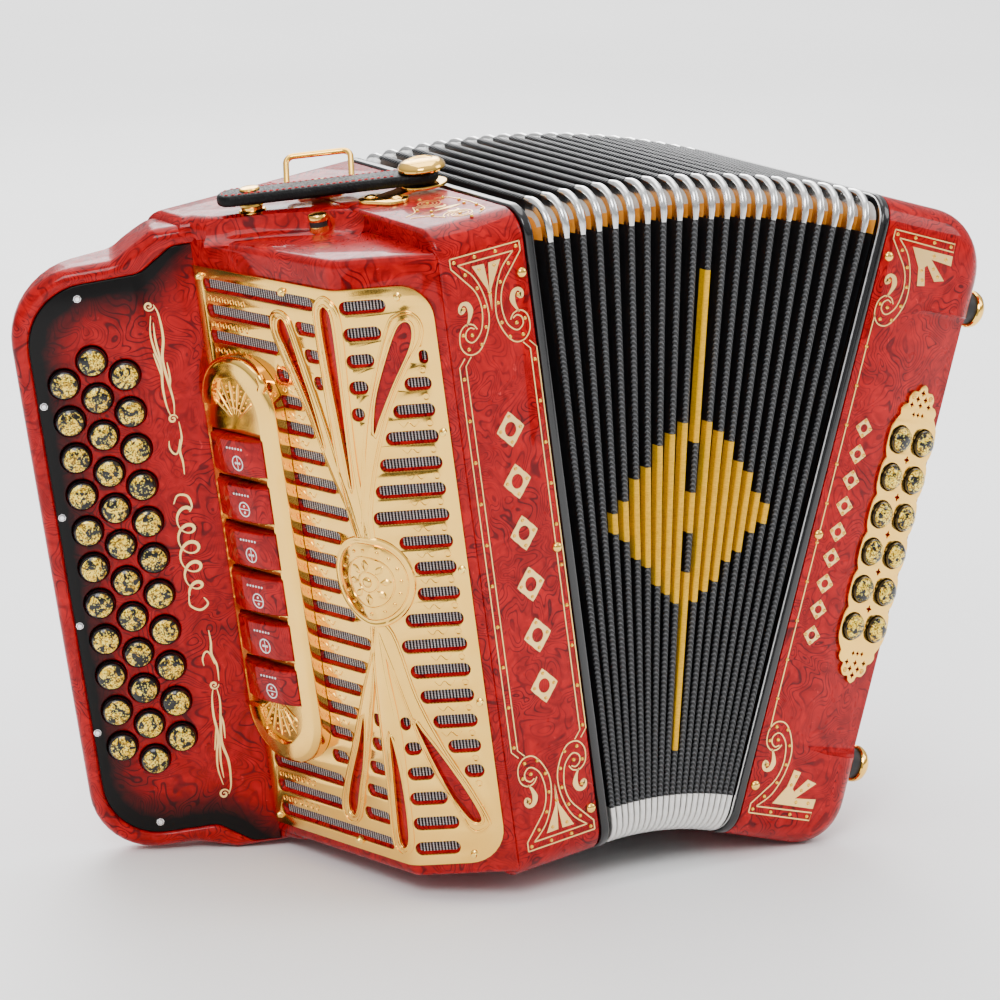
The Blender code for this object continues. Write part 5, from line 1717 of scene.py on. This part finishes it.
def bellows():
    for index in range(FOLDS):
        fold_cap(index)
    step = math.radians(FAN_ANGLE) / (FOLDS + 1)
    for index in range(FOLDS + 1):
        here, angle = PLANES[index]
        back = here - Vector((math.cos(angle), -math.sin(angle))) * FOLD_PITCH / 2
        place = TREBLE @ tilted(back, angle - step / 2)
        mesh = membrane()
        mesh.transform(place)
        obj = new_object(f"bellows_wall_{index:02d}", mesh)
        mesh.shade_smooth()
        mesh.set_sharp_from_angle(angle=math.radians(40))
        if index < FOLDS:
            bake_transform(obj)
        else:
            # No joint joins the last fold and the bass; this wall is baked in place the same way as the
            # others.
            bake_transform(obj)

    for name, node, low, high, placement, body in (
        ("treble_frame_band", "treble_bellows_frame", 0.3, FRAME_THICKNESS, TREBLE, "treble"),
        ("bass_frame_band", "bass_bellows_frame", -FRAME_THICKNESS, -0.3, BASS, "bass"),
    ):
        inner = rounded(rectangle((-76.8, 10), (76.8, 310), 4.0), 4)
        band = slab([section_outline(-0.4), inner], low, high, SECTION, 1.4, 4)
        add(name, band, BLACK, body, placement, [node])
    path = [(-FRAME_THICKNESS - 0.3, p.x, p.y) for p in section_outline(0.9)]
    add("bass_hairline", tube(path, 0.55, 6, closed=True), CHROME, "bass", BASS, sharp=60.0)


# ---------------------------------------------------------------- bass side


def bass_button_places(columns):
    return [at(BASS_PANEL, x, BASS_FIRST + BASS_PITCH * n) for x in columns for n in range(BASS_BUTTONS)]


def bass_shells():
    outline = rounded([(-30, 0, 0), (BASS_WIDTH, 0, 25), (BASS_WIDTH, HEIGHT, 30), (-30, HEIGHT, 0)], 12)
    layers = round_over(-HALF_DEPTH, HALF_DEPTH, CORNER, 8, both=True)
    body = layered(outline, layers, SIDE_VIEW)
    seam = box((-60, -100, -20), (0, 100, 340))
    beyond = Vector(BASS_PANEL_END) + (Vector(BASS_PANEL_END) - Vector(BASS_PANEL_START)) * 0.3
    wedge = [
        (BASS_PANEL_START[0] - 4.0, -HALF_DEPTH - 1.0), BASS_PANEL_START, beyond, (beyond.x, -110), (15, -110)
    ]
    shape = [(BASS_LOBE_LOW, 4.0), (BASS_LOBE_LOW + 1.2, 1.6), (BASS_LOBE_LOW + 4.0, 0.0)]
    shape += [(BASS_LOBE_HIGH - 4.0, 0.0), (BASS_LOBE_HIGH - 1.2, 1.6), (BASS_LOBE_HIGH, 4.0)]
    notch = layered(wedge, shape)
    reach = HALF_DEPTH - WALL
    chamber = box((-5.0, -reach, WALL), (20.0, reach, HEIGHT - WALL))
    inner = [(25.0, -81.4), (61.0, -72.5), (71.0, -72.5), (71.0, 76.0), (25.0, 76.0)]
    action = slab([inner], BASS_LOBE_LOW + 6, BASS_LOBE_HIGH - 6)
    drill = [(0, -14), (7.1, -14), (7.1, 2), (0, 2)]
    holes = joined([turned(drill, place, 24) for place in bass_button_places(BASS_COLUMNS.values())])
    shell = carve(body, [seam, notch, chamber, action, holes])
    pearled("bass_casing_shell", shell, "bass", ["bass_casing"], 30.0)

    end = layered(rounded(rectangle((-70, 56), (75, 264), 5.0), 5), round_over(-4.0, 0.0, 0.8, 3), BASS_END)
    thumb = at(BASS_END, *AIR_BUTTON)
    hole = turned([(0, -8), (6.6, -8), (6.6, 4), (0, 4)], thumb, 24)
    pearled("bass_end_cover", carve(end, [hole]), "bass", ["bass_end_plate"])
    button = [(0, -7.0), (6.0, -7.0), (6.0, 4.6), (5.6, 5.8), (4.2, 6.8), (2.2, 7.3), (0, 7.4)]
    add(
        "air_button_cap", turned(button, thumb, 28), BLACK, "air_button", BASS, ["air_button"]
    )
    collar = [(7.0, 0.0), (7.0, 1.2), (7.4, 1.6), (9.0, 1.4), (9.6, 0.0)]
    ring = [spun_ring(collar, thumb, 32)]
    screws = [dome(at(BASS_END, y, z), 2.4, 1.4, -0.3, sides=16) for y in (-63, 0, 68) for z in (62, 258)]
    gilt("bass_end_fittings", joined(ring + screws), "bass")

    for level, height in FOOT_HEIGHTS.items():
        for side, depth in FOOT_DEPTHS.items():
            place = at(BASS_END, depth, height)
            base = [(0, 0.3), (7.8, 0.3), (8.0, 1.0), (7.6, 6.8), (0, 6.8)]
            rubber = turned(base, place, 28)
            replaced = [f"bass_foot_{level}_{side}"]
            add(f"foot_{level}_{side}_rubber", rubber, RUBBER, "bass", BASS, replaced)
            cap = [(0, 6.8), (8.6, 6.8), (9.2, 7.4), (9.3, 8.8), (8.6, 10.6), (7.0, 12.2), (4.4, 13.4)]
            cap += [(2.0, 13.8), (0, 13.9)]
            gilt(f"foot_{level}_{side}_cap", turned(cap, place, 32), "bass")


def spun_ring(profile, placement, sides):
    """A closed profile that doesn't touch the axis, spun about z."""
    bm = bmesh.new()
    rings = []
    for radius, height in profile:
        rings.append(ring_corners(bm, radius, height, sides))
    skin(bm, rings + rings[:1], capped=False)
    bmesh.ops.transform(bm, matrix=placement, verts=bm.verts)
    return mesh_from(bm)


def bass_plate():
    left, right = BASS_COLUMNS.values()
    centre, half = (left + right) / 2, BASS_PITCH / 2
    top = BASS_FIRST + BASS_PITCH * (BASS_BUTTONS - 1)
    side = []
    for n in range(BASS_BUTTONS):
        middle = BASS_FIRST + BASS_PITCH * n
        for k in range(-4, 5):
            share = k / 4.0 * 0.96
            side.append((right + 5.8 + 3.2 * math.sqrt(1 - share * share), middle + half * share))
    nose = [
        (4.0, 12.5), (4.6, 15.0), (2.8, 17.5), (0.2, 18.6), (0.6, 21.5), (-2.0, 24.6), (-5.4, 24.8),
        (-6.6, 27.0),
    ]
    nose = [(right + x, y) for x, y in nose] + [(centre, 28.4)]
    nose = [tuple(p) for p in smooth_path(nose, 3)]
    upper = side + [(x, top + y) for x, y in nose]
    lower = [(x, BASS_FIRST - y) for x, y in nose]
    rights = list(reversed(lower)) + upper
    outline = rights + [(2 * centre - x, y) for x, y in reversed(rights[1:-1])]
    holes = [
        circle((x, BASS_FIRST + BASS_PITCH * n), 7.1, 28) for x in (left, right) for n in range(BASS_BUTTONS)
    ]
    for root, sign in ((top, 1), (BASS_FIRST, -1)):
        for y, radius, places in (
            (24.2, 1.7, (0,)),
            (21.0, 1.6, (-3.0, 3.0)),
            (18.0, 1.5, (0,)),
            (17.8, 1.5, (-6.6, 6.6)),
        ):
            holes += [petal_hole((centre + x, root + sign * y), radius) for x in places]
        for x in (-3.4, 0, 3.4):
            holes.append(petal_hole((centre + x, root + sign * 13.2), 1.25))
    for n in range(BASS_BUTTONS - 1):
        middle = BASS_FIRST + BASS_PITCH * (n + 0.5)
        holes.append(petal_hole((centre, middle), 2.0))
    plate = slab([outline, *holes], 0.3, 1.5, BASS_PANEL, 0.25, 1)
    gilt("bass_gold_plate", plate, "bass", ["bass_button_plate"])
    pins = []
    for y in (top + 21.8, BASS_FIRST - 21.8):
        for x in (centre - 6.6, centre + 6.6):
            pins.append(dome(at(BASS_PANEL, x, y, 1.5), 1.4, 1.1, -0.2, sides=12))
    for n in range(BASS_BUTTONS):
        pins.append(dome(at(BASS_PANEL, centre, BASS_FIRST + BASS_PITCH * n, 1.5), 0.8, 0.6, -0.2, 3, 10))
    add("bass_plate_pins", joined(pins), AMBER, "bass", BASS)
    crown = [(0, 2.2), (6.0, 2.2), (6.1, 3.0), (5.6, 4.2), (4.4, 5.2), (2.4, 5.9), (0, 6.1)]
    body = [(0, -7.9), (6.4, -7.9), (6.6, 2.0), (6.5, 2.9), (6.2, 3.1), (0, 3.1)]
    for column, x in BASS_COLUMNS.items():
        places = bass_button_places((x,))
        rail = box((-2.5, -4.0, -10.0), (2.5, BASS_PITCH * (BASS_BUTTONS - 1) + 4.0, -7.7), places[0])
        rims = joined([rail] + [turned(body, place, 28) for place in places])
        target = f"bass_{column}_column"
        replaced = [f"bass_buttons_{column}_column"]
        add(f"bass_button_bodies_{column}", rims, BLACK, target, BASS, replaced)
        domes = joined([turned(crown, place, 28) for place in places])
        add(f"bass_button_domes_{column}", domes, GLITTER, target, BASS, sharp=50.0)


def petal_hole(centre, radius):
    """A four-lobed piercing."""
    made = []
    for angle in turn_angles(16):
        reach = radius * (0.72 + 0.28 * math.cos(4 * angle))
        made.append(Vector((centre[0] + reach * math.cos(angle), centre[1] + reach * math.sin(angle))))
    return made


def hand_strap_point(share, across, pad):
    """A point on the band, from shares of its half length and half width, with its height off the inside."""
    centre = (BASS_LOBE_LOW + BASS_LOBE_HIGH) / 2
    half = (BASS_LOBE_HIGH - BASS_LOBE_LOW) / 2 - HAND_STRAP_END
    rise = HAND_STRAP_BULGE * (1 - share**4) ** 0.8
    waist = 3.0 * (1 - share * share) * across * across
    y = HAND_STRAP_MIDDLE + across * (HAND_STRAP_HALF_WIDTH - waist)
    return Vector((BASS_WIDTH + 0.4 + rise + pad, y, centre + half * share))


def padding(across):
    return 0.3 + 2.9 * (1 - across**4)


def hand_strap():
    """A padded leather band over the end plate: crowned across its width, stitched near both edges."""
    steps, lanes = 56, 12
    bm = bmesh.new()
    outer, inner = [], []
    for step in range(steps + 1):
        share = -1 + 2 * step / steps
        top_row, low_row = [], []
        for lane in range(lanes + 1):
            across = -1 + 2 * lane / lanes
            top_row.append(bm.verts.new(hand_strap_point(share, across, padding(across)) * MM))
            low_row.append(bm.verts.new(hand_strap_point(share, across, 0.0) * MM))
        outer.append(top_row)
        inner.append(low_row)
    for grid in (outer, inner):
        for first, second in zip(grid, grid[1:]):
            for lane in range(lanes):
                bm.faces.new((first[lane], first[lane + 1], second[lane + 1], second[lane]))
    for step in range(steps):
        for lane in (0, lanes):
            bm.faces.new((outer[step][lane], outer[step + 1][lane], inner[step + 1][lane], inner[step][lane]))
    for row in (0, steps):
        for lane in range(lanes):
            bm.faces.new((outer[row][lane], outer[row][lane + 1], inner[row][lane + 1], inner[row][lane]))
    band = add(
        "leather_hand_strap", mesh_from(bm), LEATHER, "bass", BASS, ["hand_strap"], 60.0
    )
    stitches = []
    for edge in (-0.86, 0.86):
        for step in range(62):
            share = -0.93 + 1.86 * step / 61
            ends = []
            for nudge, lift in ((-0.006, 0.0), (0.0, 0.32), (0.006, 0.0)):
                ends.append(hand_strap_point(share + nudge, edge, padding(edge) + lift))
            stitches.append(tube(ends, 0.32, 5))
    add("hand_strap_stitches", joined(stitches), STITCH, "bass", BASS, sharp=60.0)
    anchors = []
    for level in (BASS_LOBE_LOW + HAND_STRAP_END + 5, BASS_LOBE_HIGH - HAND_STRAP_END - 5):
        for y in (4, 21, 38):
            anchors.append(dome(at(BASS_END, y, level, 6.0), 3.2, 1.8, -0.4, sides=20))
    gilt("hand_strap_rivets", joined(anchors), "bass")


# ---------------------------------------------------------------- everything

place_camera()
lay_floor()
light_world()
hang_lights()
treble_shells()
SPANS = slot_rows()
grille_cover(SPANS)
grille_plate(SPANS)
fingerboard()
arm_scrolls()
registers()
strap_fittings()
inlays()
bellows()
bass_shells()
bass_plate()
hand_strap()

for node, surface in {
    "treble_pallet_board": SPRUCE,
    "treble_reed_blocks": SPRUCE,
    "bass_reed_blocks": SPRUCE,
    "treble_pallet_action": FELT,
    "air_valve": FELT,
}.items():
    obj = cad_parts[node]
    obj.data.materials.clear()
    obj.data.materials.append(surface)
